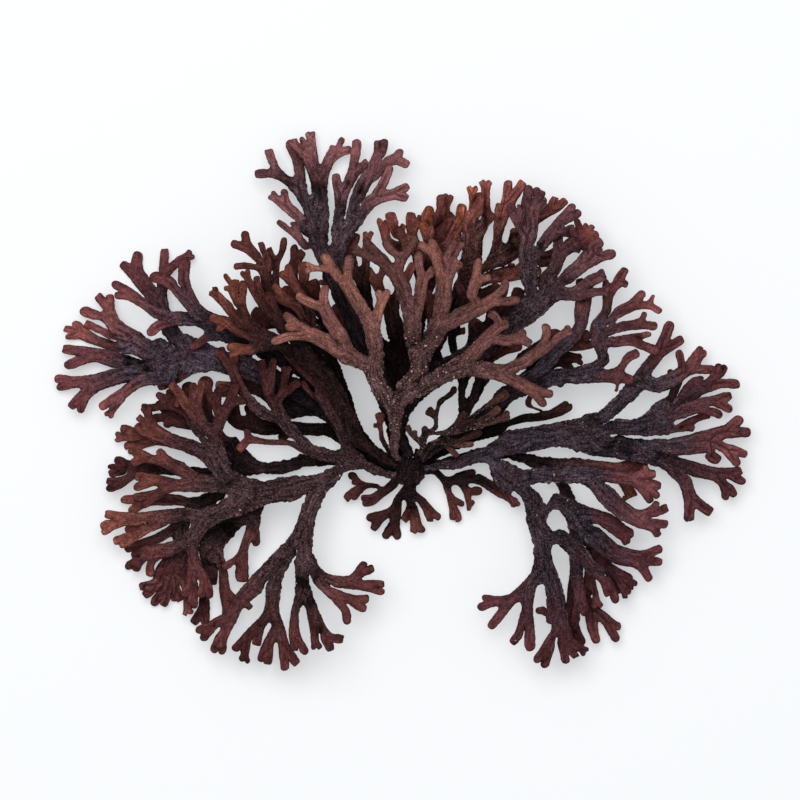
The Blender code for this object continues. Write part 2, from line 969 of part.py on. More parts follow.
# name, layer, heights at distances from the holdfast, colour, outline
FRONDS = (
    ("frond_top_back", 1, ((4, 2.5), (20, 6), (50, 7), (70, 6)), MAROON, TOP_BACK),
    ("frond_left_back", 2, ((4, 2.0), (20, 3), (45, 3.5), (80, 2)), MAROON, LEFT_BACK),
    ("frond_right_back", 2, ((4, 2.0), (20, 3), (45, 3.5), (80, 2)), MAROON, RIGHT_BACK),
    ("frond_upper_right_back", 3, ((4, 3.0), (20, 7), (50, 8), (75, 7)), RED, UPPER_RIGHT_BACK),
    ("frond_inner_top", 2, ((4, 3.0), (20, 7), (50, 8)), DARK, INNER_TOP),
    ("frond_inner_left", 3, ((4, 2.5), (20, 6), (50, 7)), DARK, INNER_LEFT),
    ("frond_top", 4, ((4, 4.5), (20, 9), (50, 10), (90, 4)), SLATE, TOP),
    ("frond_upper_left", 4, ((4, 4.0), (20, 8), (50, 8), (90, 2)), SLATE, UPPER_LEFT),
    ("frond_inner_right", 4, ((4, 3.5), (20, 6), (50, 7)), DARK, INNER_RIGHT),
    ("sprig_low_left", 4, ((2, 8.5), (6, 7.5), (10, 4.5), (16, 3), (22, 2)), DARK, SPRIG_LOW_LEFT),
    ("sprig_low_middle", 4, ((2, 7.5), (6, 6), (12, 3.5), (20, 1.5)), DARK, SPRIG_LOW_MIDDLE),
    ("sprig_low_right", 4, ((4, 2.5), (12, 2.5), (20, 2)), DARK, SPRIG_LOW_RIGHT),
    ("frond_inner_up", 5, ((4, 5.0), (20, 10), (50, 14)), DARK, INNER_UP),
    ("frond_upper_left_mid", 6, ((4, 5.5), (20, 11), (50, 14), (80, 10)), SLATE, UPPER_LEFT_MID),
    ("frond_left", 7, ((4, 5.5), (20, 9), (45, 11), (75, 5), (80, 4)), MAROON, LEFT),
    ("frond_right", 7, ((4, 5.5), (20, 9), (45, 11), (75, 6), (90, 4)), MAROON, RIGHT),
    ("frond_top_left", 7, ((4, 6.5), (20, 13), (50, 17), (70, 15)), RED, TOP_LEFT),
    ("frond_left_cluster", 8, ((4, 7.0), (20, 14), (50, 18), (70, 16)), RED, LEFT_CLUSTER),
    ("frond_right_middle", 8, ((4, 6.5), (20, 12), (50, 15), (80, 11)), SLATE, RIGHT_MIDDLE),
    ("frond_upper_right", 9, ((4, 7.5), (20, 14), (50, 17), (80, 13)), SLATE, UPPER_RIGHT),
    ("twig_right_lower", 10, ((4, 8.0), (20, 13), (40, 15)), TWIG, TWIG_RIGHT_LOWER),
    ("twig_right_upper", 11, ((4, 9.0), (20, 15), (40, 17)), TWIG, TWIG_RIGHT_UPPER),
    ("twig_left", 11, ((4, 8.0), (20, 12)), TWIG, TWIG_LEFT),
    ("frond_crown", 12, ((4, 9.0), (10, 14), (22, 22), (45, 28), (65, 25)), TAN, CROWN),
)


def read_outline(text):
    """The stretches of an outline as a tree: a line set further in forks off the line above it."""
    path = []
    first = None
    for row in text.splitlines():
        if not row.strip():
            continue
        depth = (len(row) - len(row.lstrip())) // 2
        stretch = {"points": [], "wide": None, "rise": 0.0, "roll": 0.0, "forks": []}
        for word in row.split():
            if word[0] == "w":
                stretch["wide"] = float(word[1:])
            elif word[0] in "ud":
                stretch["rise"] = float(word[1:]) * (1 if word[0] == "u" else -1)
            elif word[0] == "r":
                stretch["roll"] = math.radians(float(word[1:]))
            else:
                x, y = (float(number) for number in word.split(","))
                stretch["points"].append(Vector((x - HOLDFAST_AT[0], y - HOLDFAST_AT[1])))
        del path[depth:]
        if path:
            path[-1]["forks"].append(stretch)
        else:
            first = stretch
        path.append(stretch)
    return first


def tips_of(stretch):
    return sum(tips_of(fork) for fork in stretch["forks"]) or 1


def width_of(stretch):
    if stretch["wide"]:
        return SLIMMER * stretch["wide"]
    tips = tips_of(stretch)
    return SLIMMER * (TIP_WIDTH if tips == 1 else min(WIDEST, 1.7 + 0.95 * tips**0.45))


class Frond:
    """One frond as a sheet of stations along the blades, each with a corner at its left and right."""

    def __init__(self, name, layer, heights, colour, outline, seed):
        self.name = name
        self.layer = layer
        self.heights = heights
        self.colour = colour
        self.seed = seed
        self.draw = random.Random(seed)
        self.stations = []  # x, y, height, station before it, thickness, stretch number
        self.corners = []  # x, y, lift above its station, station
        self.faces = []
        self.stretches = 0
        root = read_outline(outline)
        start = root["points"].pop(0)
        heading = (root["points"][0] - start).normalized()
        station = self.add_station(start, self.height(start), -1, 1.6, 0)
        edge = self.add_pair(start, heading, STIPE_WIDTH, 0.0, station)
        self.grow(root, start, edge, station, 0.0, 0.0, 0.0)

    def height(self, point):
        distances, heights = zip(*self.heights)
        ripple = noise.noise(Vector((point.x / 13.0, point.y / 13.0, self.seed * 7.3)))
        away = min(1.0, point.length / 25.0)
        return float(np.interp(point.length, distances, heights)) + 2 * RIPPLE * away * ripple

    def add_station(self, point, height, before, thickness, stretch):
        self.stations.append((point.x, point.y, height, before, thickness, stretch))
        return len(self.stations) - 1

    def add_corner(self, x, y, lift, station):
        self.corners.append((x, y, lift, station))
        return len(self.corners) - 1

    def add_pair(self, point, heading, width, roll, station):
        across = Vector((-heading.y, heading.x)) * (0.5 * width * math.cos(roll))
        lift = 0.5 * width * math.sin(roll)
        return (
            self.add_corner(point.x + across.x, point.y + across.y, lift, station),
            self.add_corner(point.x - across.x, point.y - across.y, -lift, station),
        )

    def grow(self, stretch, start, edge, before, gone, rise, roll):
        """Lays one stretch of blade from the edge where it begins, then its forks."""
        self.stretches += 1
        number = self.stretches
        width = width_of(stretch)
        points = [start] + stretch["points"]
        last = points[-1] - points[-2]
        if not stretch["forks"] and last.length > 3.6 and width > 1.9 and self.draw.random() < LOBED:
            self.split_tip(stretch, last, width)
            points = [start] + stretch["points"]
            last = points[-1] - points[-2]
        forks = stretch["forks"]
        if not forks:
            back = max(0.42 * last.length, last.length - 1.3 * width)
            if last.length > 2.4 and (len(points) == 2 or back > 0.6 * last.length):
                points.insert(-1, points[-2] + last * (back / last.length))
        rise_to = rise + stretch["rise"] + (self.draw.uniform(-0.7, 0.7) if gone > 0 else 0.0)
        lean = math.radians(ROLL) * 2.0
        for k in range(1, len(points)):
            point = points[k]
            share = k / (len(points) - 1)
            arriving = (point - points[k - 1]).normalized()
            if k + 1 < len(points):
                leaving = (points[k + 1] - point).normalized()
            elif forks:
                leaving = Vector((0.0, 0.0))
                for fork in forks:
                    leaving += (fork["points"][0] - point).normalized() * width_of(fork)
                leaving.normalize()
            else:
                leaving = arriving
            heading = (arriving + leaving * 0.9).normalized()
            gone += (point - points[k - 1]).length
            full = min(1.0, gone / STIPE_LENGTH)
            wide = STIPE_WIDTH + (width - STIPE_WIDTH) * full if width > STIPE_WIDTH else width
            if k + 1 == len(points):
                if forks:
                    wide = max(0.95 * wide, 0.7 * sum(min(width_of(fork), width) for fork in forks) * full)
                else:
                    wide *= TAPER
            swing = noise.noise(Vector((point.x / 11.0, point.y / 11.0, self.seed * 3.1 + 50)))
            turn = lean * swing * full + roll + stretch["roll"] * share
            turn = max(-1.15, min(1.15, turn))
            stem = min(1.0, max(0.0, (width - TIP_WIDTH) / (WIDEST - TIP_WIDTH)))
            thickness = TIP_THICKNESS + (STEM_THICKNESS - TIP_THICKNESS) * stem
            if gone < 8:
                thickness = max(thickness, 1.2)
            height = self.height(point) + rise + (rise_to - rise) * share
            station = self.add_station(point, height, before, thickness, number)
            left, right = self.add_pair(point, heading, wide, turn, station)
            self.faces.append((edge[0], edge[1], right, left))
            edge = (left, right)
            before = station
        if not forks:
            return
        forks = sorted(forks, key=lambda fork: -self.bearing(heading, fork["points"][0] - point))
        widths = [width_of(fork) for fork in forks]
        chain = [edge[0]]
        reach = 0.0
        first, second = self.corners[edge[0]][2], self.corners[edge[1]][2]
        for i in range(len(forks) - 1):
            reach += widths[i]
            place = self.crotch(point, forks[i : i + 2], widths[i : i + 2])
            width = first + (second - first) * reach / sum(widths)
            chain.append(self.add_corner(place.x, place.y, width, before))
        chain.append(edge[1])
        self.faces.append((chain[0], chain[-1], *reversed(chain[1:-1])))
        for fork, left, right in zip(forks, chain, chain[1:]):
            a, b = self.corners[left], self.corners[right]
            middle = Vector((0.5 * (a[0] + b[0]), 0.5 * (a[1] + b[1])))
            self.grow(fork, middle, (left, right), before, gone, rise_to, 0.4 * stretch["roll"])

    def split_tip(self, stretch, last, width):
        """Ends a tip in two short lobes."""
        way = last.normalized()
        end = stretch["points"][-1]
        stretch["points"][-1] = end - way * 1.5
        for side in (1, -1):
            angle = side * self.draw.uniform(0.5, 0.75)
            turned = Vector((
                way.x * math.cos(angle) - way.y * math.sin(angle),
                way.x * math.sin(angle) + way.y * math.cos(angle),
            ))
            lobe = end - way * 1.5 + turned * self.draw.uniform(1.5, 2.1)
            wide = 0.68 * width / SLIMMER
            stretch["forks"].append({"points": [lobe], "wide": wide, "rise": 0.0, "roll": 0.0, "forks": []})

    @staticmethod
    def crotch(point, forks, widths):
        """Where the facing edges of two forks meet, kept short of the ends of their first pieces."""
        left, right = (fork["points"][0] - point for fork in forks)
        most = CROTCH_MOST * min(left.length, right.length)
        left.normalize()
        right.normalize()
        turn = max(0.25, abs(left.x * right.y - left.y * right.x))
        way = (left * widths[1] + right * widths[0]) * (0.5 / turn)
        out = min(most, max(CROTCH * way.length, 0.36 * min(widths)))
        return point + way.normalized() * out

    @staticmethod
    def bearing(heading, way):
        return math.atan2(heading.x * way.y - heading.y * way.x, heading.dot(way))

    def triangles(self):
        """Every face split from its first corner, alike on both sides of the blade."""
        return [(face[0], face[i], face[i + 1]) for face in self.faces for i in range(1, len(face) - 1)]

    def ways(self):
        """How far apart any two stations are along the frond."""
        count = len(self.stations)
        table = np.zeros((count, count))
        for i in range(1, count):
            x, y, _, before, _, _ = self.stations[i]
            step = math.hypot(x - self.stations[before][0], y - self.stations[before][1])
            table[i, :i] = table[before, :i] + step
            table[:i, i] = table[i, :i]
        return table


def probe_points(fronds):
    """Points spread over every blade, each as a mix of three corners."""
    probes = []
    for number, frond in enumerate(fronds):
        for triangle in frond.triangles():
            a, b, c = (Vector(frond.corners[i][:2]) for i in triangle)
            longest = max((a - b).length, (b - c).length, (c - a).length)
            parts = max(1, math.ceil(longest / GRAIN))
            for i in range(parts + 1):
                for j in range(parts + 1 - i):
                    share = (i / parts, j / parts, (parts - i - j) / parts)
                    probes.append((number, triangle, share))
    return probes


def keep_apart(fronds):
    """Lifts and lowers the stations until blades that cross leave air between them. Returns heights."""
    first = np.cumsum([0] + [len(frond.stations) for frond in fronds])
    start = np.concatenate([[s[2] for s in frond.stations] for frond in fronds])
    thick = np.concatenate([[s[4] for s in frond.stations] for frond in fronds])
    before = np.concatenate([
        [s[3] + first[n] if s[3] >= 0 else i + first[n] for i, s in enumerate(frond.stations)]
        for n, frond in enumerate(fronds)
    ]).astype(int)
    floor = thick * 0.5
    places = np.concatenate([[s[:2] for s in frond.stations] for frond in fronds])
    for n, frond in enumerate(fronds):
        for _, _, lift, station in frond.corners:
            k = first[n] + station
            floor[k] = max(floor[k], 0.5 * thick[k] - lift)
    probes = probe_points(fronds)
    count = len(probes)
    of_frond = np.array([p[0] for p in probes])
    at = np.zeros((count, 3), int)
    mix = np.zeros((count, 3))
    lifts = np.zeros(count)
    tree = KDTree(count)
    for i, (number, triangle, share) in enumerate(probes):
        corners = [fronds[number].corners[k] for k in triangle]
        at[i] = [first[number] + c[3] for c in corners]
        mix[i] = share
        lifts[i] = sum(c[2] * s for c, s in zip(corners, share))
        x, y = (sum(c[axis] * s for c, s in zip(corners, share)) for axis in range(2))
        tree.insert((x, y, 0.0), i)
    tree.balance()
    ways = [frond.ways() for frond in fronds]
    stretch_of = np.concatenate([[s[5] for s in frond.stations] for frond in fronds])
    mean = {}
    for n, frond in enumerate(fronds):
        for number in range(frond.stretches + 1):
            mine = [s[2] for s in frond.stations if s[5] == number]
            mean[n, number] = sum(mine) / len(mine) if mine else 0.0
    main = at[np.arange(count), mix.argmax(axis=1)]
    inside = np.hypot(places[:, 0], places[:, 1]) < HOLDFAST_RADIUS
    floor[inside] = np.maximum(floor[inside], HOLDFAST_HEIGHT + 1.6)
    upper, lower, apart = [], [], []
    for i in range(count):
        n = of_frond[i]
        place = Vector((*[sum(fronds[n].corners[k][axis] * s for k, s in zip(probes[i][1], probes[i][2]))
                          for axis in range(2)], 0.0))
        for _, j, distance in tree.find_range(place, REACH):
            if j <= i:
                continue
            m = of_frond[j]
            if n != m:
                over = fronds[n].layer + 0.01 * n > fronds[m].layer + 0.01 * m
            else:
                a, b = main[i] - first[n], main[j] - first[n]
                if distance > OWN_REACH or ways[n][a, b] < ALONG:
                    continue
                p, q = int(stretch_of[main[i]]), int(stretch_of[main[j]])
                if p == q:
                    continue
                over = (mean[n, p], p) > (mean[n, q], q)
            upper.append(i if over else j)
            lower.append(j if over else i)
            apart.append(distance)
    upper, lower = np.array(upper), np.array(lower)
    thickness = (thick[at] * mix).sum(axis=1)
    fade = np.clip((REACH - np.array(apart)) / (REACH - 0.8), 0.3, 1.0)
    want = (0.5 * (thickness[upper] + thickness[lower]) + GAP) * fade
    steps = np.maximum(0.4, np.hypot(*(places - places[before]).T))
    heights = np.maximum(start, floor)
    neighbours = np.zeros(len(start))
    np.add.at(neighbours, before, 1.0)
    neighbours += 1.0
    for turn in range(ROUNDS):
        now = (heights[at] * mix).sum(axis=1) + lifts
        short = want - (now[upper] - now[lower])
        hit = short > 0
        push = 0.5 * short[hit]
        move = np.zeros(len(start))
        load = np.full(len(start), 1e-9)
        for k in range(3):
            for side, sign in ((upper[hit], 1.0), (lower[hit], -1.0)):
                weight = mix[side, k] ** 2
                np.add.at(move, at[side, k], sign * weight * push)
                np.add.at(load, at[side, k], weight)
        heights = heights + 1.2 * move / load
        smooth = 0.30 * max(0.0, 1.0 - turn / (0.75 * ROUNDS))
        if smooth:
            shift = heights - start
            mean_shift = shift[before].copy()
            np.add.at(mean_shift, before, shift)
            heights = start + SETTLE * ((1 - smooth) * shift + smooth * mean_shift / neighbours)
        climb = heights - heights[before]
        excess = 0.45 * np.sign(climb) * np.maximum(0.0, np.abs(climb) - STEEPEST * steps)
        eased = heights - excess
        np.add.at(eased, before, excess)
        heights = np.maximum(np.minimum(eased, start + MOST_LIFT), floor)
    return [heights[first[n]:first[n + 1]] for n in range(len(fronds))]


def solid_from(frond, heights):
    """The sheet given its thickness: an upper and a lower skin joined by a rim."""
    corners = [Vector((x, y, heights[s] + lift)) for x, y, lift, s in frond.corners]
    thickness = [frond.stations[s][4] for _, _, _, s in frond.corners]
    triangles = frond.triangles()
    normals = [Vector((0.0, 0.0, 0.0)) for _ in corners]
    rim = {}
    for a, b, c in triangles:
        turned = (corners[b] - corners[a]).cross(corners[c] - corners[a])
        for k in (a, b, c):
            normals[k] += turned
        for edge in ((a, b), (b, c), (c, a)):
            if (edge[1], edge[0]) in rim:
                del rim[edge[1], edge[0]]
            else:
                rim[edge] = True
    count = len(corners)
    points = []
    for side in (0.5, -0.5):
        for corner, normal, thick in zip(corners, normals, thickness):
            points.append((corner + normal.normalized() * (side * thick)) * MM)
    faces = list(triangles)
    faces += [(c + count, b + count, a + count) for a, b, c in triangles]
    for a, b in rim:
        faces += [(b, a, a + count), (b, a + count, b + count)]
    return points, faces


def holdfast():
    """A small knobbly stump, flat below."""
    sides = 16
    rings = ((0.0, 1.0), (1.2, 1.08), (3.4, 0.92), (6.0, 0.86), (8.0, 0.78), (9.0, 0.52))
    points, faces = [], []
    for level, (height, share) in enumerate(rings):
        for k in range(sides):
            angle = 2 * math.pi * k / sides
            bump = 1.0 + 0.07 * noise.noise(Vector((3 * math.cos(angle), 3 * math.sin(angle), height)))
            radius = HOLDFAST_RADIUS * share * bump
            high = height * HOLDFAST_HEIGHT / 9.0
            points.append(Vector((radius * math.cos(angle), radius * math.sin(angle), high)) * MM)
        if level:
            for k in range(sides):
                low, next_low = (level - 1) * sides + k, (level - 1) * sides + (k + 1) % sides
                faces.append((low, next_low, next_low + sides, low + sides))
    faces.append(tuple(reversed(range(sides))))
    top = len(points)
    points.append(Vector((0.0, 0.0, HOLDFAST_HEIGHT + 0.5)) * MM)
    for k in range(sides):
        faces.append((top - sides + k, top - sides + (k + 1) % sides, top))
    return points, faces


def add_object(name, points, faces, colour):
    mesh = bpy.data.meshes.new(name)
    mesh.from_pydata(points, [], faces)
    mesh.update()
    material = bpy.data.materials.new(name)
    material.use_nodes = True
    shader = material.node_tree.nodes["Principled BSDF"]
    shader.inputs["Base Color"].default_value = (*colour, 1.0)
    shader.inputs["Roughness"].default_value = 0.82
    shader.inputs["Metallic"].default_value = 0.0
    mesh.materials.append(material)
    obj = bpy.data.objects.new(name, mesh)
    bpy.context.scene.collection.objects.link(obj)


def main():
    for obj in list(bpy.data.objects):
        bpy.data.objects.remove(obj, do_unlink=True)
    fronds = [Frond(*row, seed) for seed, row in enumerate(FRONDS, start=1)]
    for frond, heights in zip(fronds, keep_apart(fronds)):
        points, faces = solid_from(frond, heights)
        add_object(frond.name, points, faces, frond.colour)
    points, faces = holdfast()
    add_object("holdfast", points, faces, ROOT)


main()
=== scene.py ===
"""Irish moss: one dried bunch as picked, its forked fronds spread round a small holdfast.

The frame gives the plain solids. Every frond is laid out again here from the same outlines, and a tree
of geometry nodes rounds its blades, wrinkles them and gives them their uneven edges. Salt grains are
strewn over the stems. Metres; the outlines are in millimetres.
"""

import math
import random

import bpy
import numpy as np
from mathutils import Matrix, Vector, noise
from mathutils.bvhtree import BVHTree
from mathutils.kdtree import KDTree


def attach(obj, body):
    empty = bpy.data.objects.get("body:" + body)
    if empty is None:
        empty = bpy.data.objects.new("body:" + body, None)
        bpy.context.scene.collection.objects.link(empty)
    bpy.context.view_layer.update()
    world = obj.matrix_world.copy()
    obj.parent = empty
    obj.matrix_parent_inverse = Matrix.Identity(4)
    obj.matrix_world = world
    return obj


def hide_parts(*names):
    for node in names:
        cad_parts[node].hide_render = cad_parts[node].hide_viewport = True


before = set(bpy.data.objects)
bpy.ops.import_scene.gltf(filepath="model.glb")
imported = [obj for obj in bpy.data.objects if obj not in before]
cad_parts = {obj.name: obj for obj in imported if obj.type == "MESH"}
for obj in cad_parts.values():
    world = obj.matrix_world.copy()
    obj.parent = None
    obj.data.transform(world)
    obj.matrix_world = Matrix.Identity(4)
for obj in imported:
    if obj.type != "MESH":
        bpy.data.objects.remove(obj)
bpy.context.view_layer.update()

bl_info = {
    "name": "Irish moss",
    "version": (1, 0, 0),
    "blender": (4, 5, 0),
    "location": "3D View > Sidebar > Moss",
    "description": "A dried bunch of irish moss spread round its holdfast",
    "category": "Add Mesh",
}

MM = 0.001

# Layout of the fronds, in millimetres, with the sizes that the solids have
HOLDFAST_AT = (2.5, -2.5)  # where the holdfast stands on the sheet that the outlines are drawn on
HOLDFAST_RADIUS = 2.7
HOLDFAST_HEIGHT = 5.0

SLIMMER = 0.87  # every width below times this
TIP_WIDTH = 2.6  # width of a last blade
TAPER = 0.62  # width of a tip's end, against the blade's
CROTCH = 1.0  # how far out the forks part, against where straight blades would
CROTCH_MOST = 0.72  # most of a fork's first piece that is joined to the next fork
CROTCH_LEAST = 0.36  # least that the forks part, against the slimmer one's width
WIDEST = 6.6  # width of the broadest blade
WIDTH_BY_TIPS = (1.7, 0.95, 0.45)  # the others', with t tips beyond them: 1.7 + 0.95 * t ** 0.45
STIPE_WIDTH = 1.5  # width where a frond leaves the holdfast
STIPE_LENGTH = 14.0  # over which a frond widens to its full width
TIP_THICKNESS = 0.75
STEM_THICKNESS = 1.35
ROOT_THICKNESS = 1.6  # where a frond leaves the holdfast
STIPE_THICKNESS = 1.2  # least thickness over the first STURDY millimetres
STURDY = 8.0

ROLL = 24.0  # degrees by which a blade leans to either side along its way
ROLL_LENGTH = 11.0  # over which its lean changes
MOST_ROLL = 1.15  # most that it leans, in radians
ROLL_KEPT = 0.4  # share of a stretch's roll that its forks keep
RIPPLE = 1.3  # height of the slow waves along a frond
RIPPLE_LENGTH = 13.0
CALM = 25.0  # the waves are lower nearer to the holdfast than this
FORK_RISE = 0.7  # most that a fork's end is lifted or lowered by chance
GAP = 0.42  # least air between two fronds where one crosses over the other
GRAIN = 1.15  # spacing of the probe points that keep fronds apart
REACH = 1.2  # probe points closer than this, seen from above, lie over each other
OWN_REACH = 0.75  # the same for two blades of one frond
NEAR = 0.8  # probe points closer than this keep the whole gap, and the others less of it
LEAST_SHARE = 0.3  # the least share of it
STEEPEST = 0.8  # most that a blade rises for each millimetre along it
LOBED = 0.35  # share of the long tips that end in two lobes
LOBED_LENGTH = 3.6  # length from which a tip is long enough for lobes
LOBED_WIDTH = 1.9  # width from which it is wide enough for them
LOBE_LENGTH = (1.5, 2.1)
LOBE_ANGLE = (0.5, 0.75)  # angle of a lobe to either side, in radians
LOBE_WIDTH = 0.68  # width of a lobe, against the tip's
SHOULDER = 1.3  # how far before its end a tip still has its full width, against that width
SHOULDER_LENGTH = 2.4  # length from which a tip has such a shoulder
ALONG = 8.0  # points of one frond nearer than this along it may lie close
SETTLE = 0.985  # how much of its move a blade keeps each round, so that it sinks back
MOST_LIFT = 4.5  # most that a blade is lifted over its own height to clear another
ROUNDS = 420  # of lifting and easing
PUSH = 1.2  # how much of what is missing is made up in a round
EASING = 0.45  # how much of a rise that is too steep goes in a round, at each of its ends
SMOOTHING = 0.30  # how far each blade takes up its neighbours' moves at first
OVER_HOLDFAST = 1.6  # least height of a blade's middle above the holdfast's rim

# Finish of the blades, in millimetres
STEP = 1.25  # length of a piece of blade before it is rounded
SHORTEST = 0.35  # shortest piece before a tip's rounded end, against that
CAMBER = 0.35  # most that a blade's middle stands above or below its edges
FULL_CAMBER = 5.0  # width from which it does
AXIL_LENGTH = 4.5  # how much of a crotch is rounded
AXIL_OUT = 0.75  # how squarely the edges leave a crotch
AXIL_ON = 0.6
NOTCHED = 0.3  # share of the tips with a dent in the end
NOTCH = (-0.5, -0.2)  # how far that dent goes in, against half the tip's width
BULGE = (-0.05, 0.2)  # how far the other tips' ends stand out
TIP_CORNER = (0.05, 0.45)  # how far a tip's corners stay behind its middle, against the same
TIP_NARROW = (0.68, 0.9)  # how far a tip's corners are drawn in
TONE_STEP = 0.22  # most that a fork is lighter or darker than the blade before it
LEVEL = 2  # how often the blades are rounded
CLOSE = 0.004  # points of a blade's two skins nearer than this are one
HOLDFAST_PROFILE = (  # share of its height, and width there against the solid's
    (0.0, 1.0), (0.12, 1.15), (0.35, 1.22), (0.62, 1.3), (0.82, 1.34), (0.92, 1.2), (0.97, 0.9), (1.0, 0.5))
HOLDFAST_DOME = 0.7  # how far its middle stands above its rim
RIBS = 9  # ribs round the holdfast
SHADE = 0.8  # how much darker a blade is where others hide the whole sky from it
SHADE_REACH = 14.0  # how far up a blade still shades another
SHADE_CLEAR = 0.5  # where a look at the sky starts above the blade
SHADE_RINGS = ((0.0, 1), (28.0, 6), (55.0, 9))  # degrees from straight up, looks round the ring

# View, in millimetres
VIEW_CENTRE = (-2.6, 18.0)
VIEW_WIDTH = 200.0
CAMERA_HEIGHT = 2500.0
WORLD_LIGHT = 0.46
WINDOW_LIGHT = 13.0
FLOOR_GLOW = 0.36
DAYLIGHT = (0.97, 0.985, 1.0, 1.0)
WINDOW_AT = (-0.18, 0.38, 1.2)  # metres
WINDOW_SIZE = 1.2  # metres
SURFACE_REACH = 1.5  # metres from the middle of the surface to its sides
SENSOR = 36.0

# Each frond: layer (a higher one lies over a lower one), height of its blade at distances from the
# holdfast, and its outline seen from above. A line of the outline is one stretch of blade, as points
# "x,y", and a line set further in forks off the line above it. "w4" sets a stretch's width, "u3" lifts
# its end by 3, "d3" lowers it by 3, "r50" rolls it by 50 degrees.
CROWN = """
-0.4,0.6 -1.7,3 -1.4,5.8 -1.3,9.5 -1.5,13.4 w4.4
 -4.2,17 -6.2,21 -6.6,24 w5.2
  -10,25 -13.5,27.2 w4.8
   -17.5,29.6 -23,32 w4.6
    -27,31.4 -32,29.8
    -26,34
     -28.6,33.2 r40
     -28.8,37
   -14.6,31.2 -17.5,35.5 -19,38.5 w4.2
    -22.5,39.6 -26,41.7
    -19,41 -18.5,44
  -6.3,28.5 -7,34.2 w4.8
   -9.5,37.8 -12,42 -13.4,44.6 w4.2
    -15.5,46 -17,48
     -19.2,51.6
     -23.4,48.2 w2.2
    -13,48 -12.4,51.6 w3
   -5.3,38 -4.4,40.4
    -5.8,42.6
    -2.8,42.8
 1.2,17.4 w5.6
  4.2,22 4.9,27 w5
   3.1,31.4 3,37 w4.9
    1,42.5 -1.2,46.6 w4.6
     -4.5,50 w3.4
      -8,51.2 -11.6,52.6
      -7,53 -8.9,55.6
     0.2,50.4 w3.4
      -2.6,52.8 -4.2,55 r40
      2.8,53.6 3.8,56.2
    5,42.5 5.6,45.8 w3.8
     4.6,49 4.6,52.4
     7.4,46.6 8.6,48.6
   8,31 10,34.4 w5.6
    10.6,39.5 10.9,45.2 w4.8
     9.6,49.4 8.4,52.2 w3.8
      7.4,55.4
      4.2,54.2
     12.4,49.2
      13.4,51.4 14.3,53.4 15.8,54.3 w2.2 u1
      15.4,48.6 w3
      12.2,52.4 13.6,55.2 u2 r50
    14,35.8 19,38.2 w4.8
     17.6,41.4 18.8,44.8 w3.6
      19.4,50.6
      22.4,46
     22.5,40 w4
      25.2,42.6 26.4,45.4
      26,39.8 29.6,40.2
  6.8,19.6 11,22 15.4,23.8 w5
   18,27 22,31 w4.4
    24.6,33.8 w3
     23.4,36.4 21.2,37.2 r50
     27,34.8
    26,30.2 29.4,30.8 w3.6
     30.7,33
     32.8,29.2
   19.6,23.2 25,22.2 w4.8
    29,20 32.8,17.8 w4
     37.8,16.8 w2.8
     36,13.9
    30,24.6 35.4,28.4 w3.6
     36.2,31.4 35.9,34.4
     39,31 42.4,33.2
"""

TOP = """
-0.9,1.2 -1.6,5 -2,10 -4,17 -6.6,24 -10,32 -14,41 -17.2,50 w5.8
 -20.2,54.6 w5.4
  -23.6,53.8 -25.6,56.4 w2.6
   -30.8,60.2 w1.9
   -26.8,60 w1.8
  -21.4,58.6 w5.6
   -24.8,60.4 -27,62.6 -28.6,64 w3.2
    -32.6,67
    -29.2,68.2 w2.2
   -25.4,68.8 w5.2
    -31,72.2
     -33.2,78.4
     -36.4,71.8
    -25.6,75 -26.8,78 -28,80.4 w3.2
   -20.4,70.4 w4.6
    -22.7,76.4 w4
     -22.6,82.6
     -24.8,81.2 w2.2
     -27.4,80.4
    -17.8,75.4 -16.4,77.2 w3.4
     -16.9,79.4 w1.8
     -14.2,81.2 w1.8
     -12.2,78.2 w2.4
 -14.6,56.6 w6.6
  -15,63 -14.7,66.6 w3.2
   -16.3,72 w2.8
   -12.7,70.2 -11.6,72.4 w3.4
    -11.3,76 -10.9,80.6 w2.8
    -7.8,75.3 w2.5
  -11.4,61 w5.2
   -10.4,66.4 -8.6,70.4 -6.8,72.2 w4
    -5.2,77.2 w3.6
     -5.6,80.6
     -3.8,80.6
    -3,75 -1.2,75.6 w3.2
     0.3,78
     2.4,73.8
   -8.4,64 -5.8,66 w4
    -4.1,69.8 -2.4,74 w2.6
    -1.4,66.9 w3.4
     2.2,69
     2.2,65.5
"""

TOP_BACK = """
1.7,1.4 -0.9,6 -1,12 2.4,20 3.4,30 5.6,42 7.6,51 w5
 2.6,54.2 w4.8
  -3.1,55 -3.9,57.8 w2.8
   -5.5,60.9 w1.8
   -3.3,60.4
  -0.4,56.8
   -2.8,62.4 w3.2
   0.8,59.2 r40
  3,58.2
   2.7,62.6 w3
   5.4,61.4 d1
 7,56.4
  6.6,60.6 7.4,63.8 w3.6
  5.2,59.8
 10,56.8 w4.2
  9.8,61.8 w3
   10.1,66.8 u1
   8.2,60.8
  11.8,61.2 w3.4
   12.1,66.8
   13.4,62 w3 u2
 12.4,54.4 w4
  15.4,60.4 w3.4
   15.5,64.6 w3
   17,62
  17.2,56 18.4,56.4 r40
"""

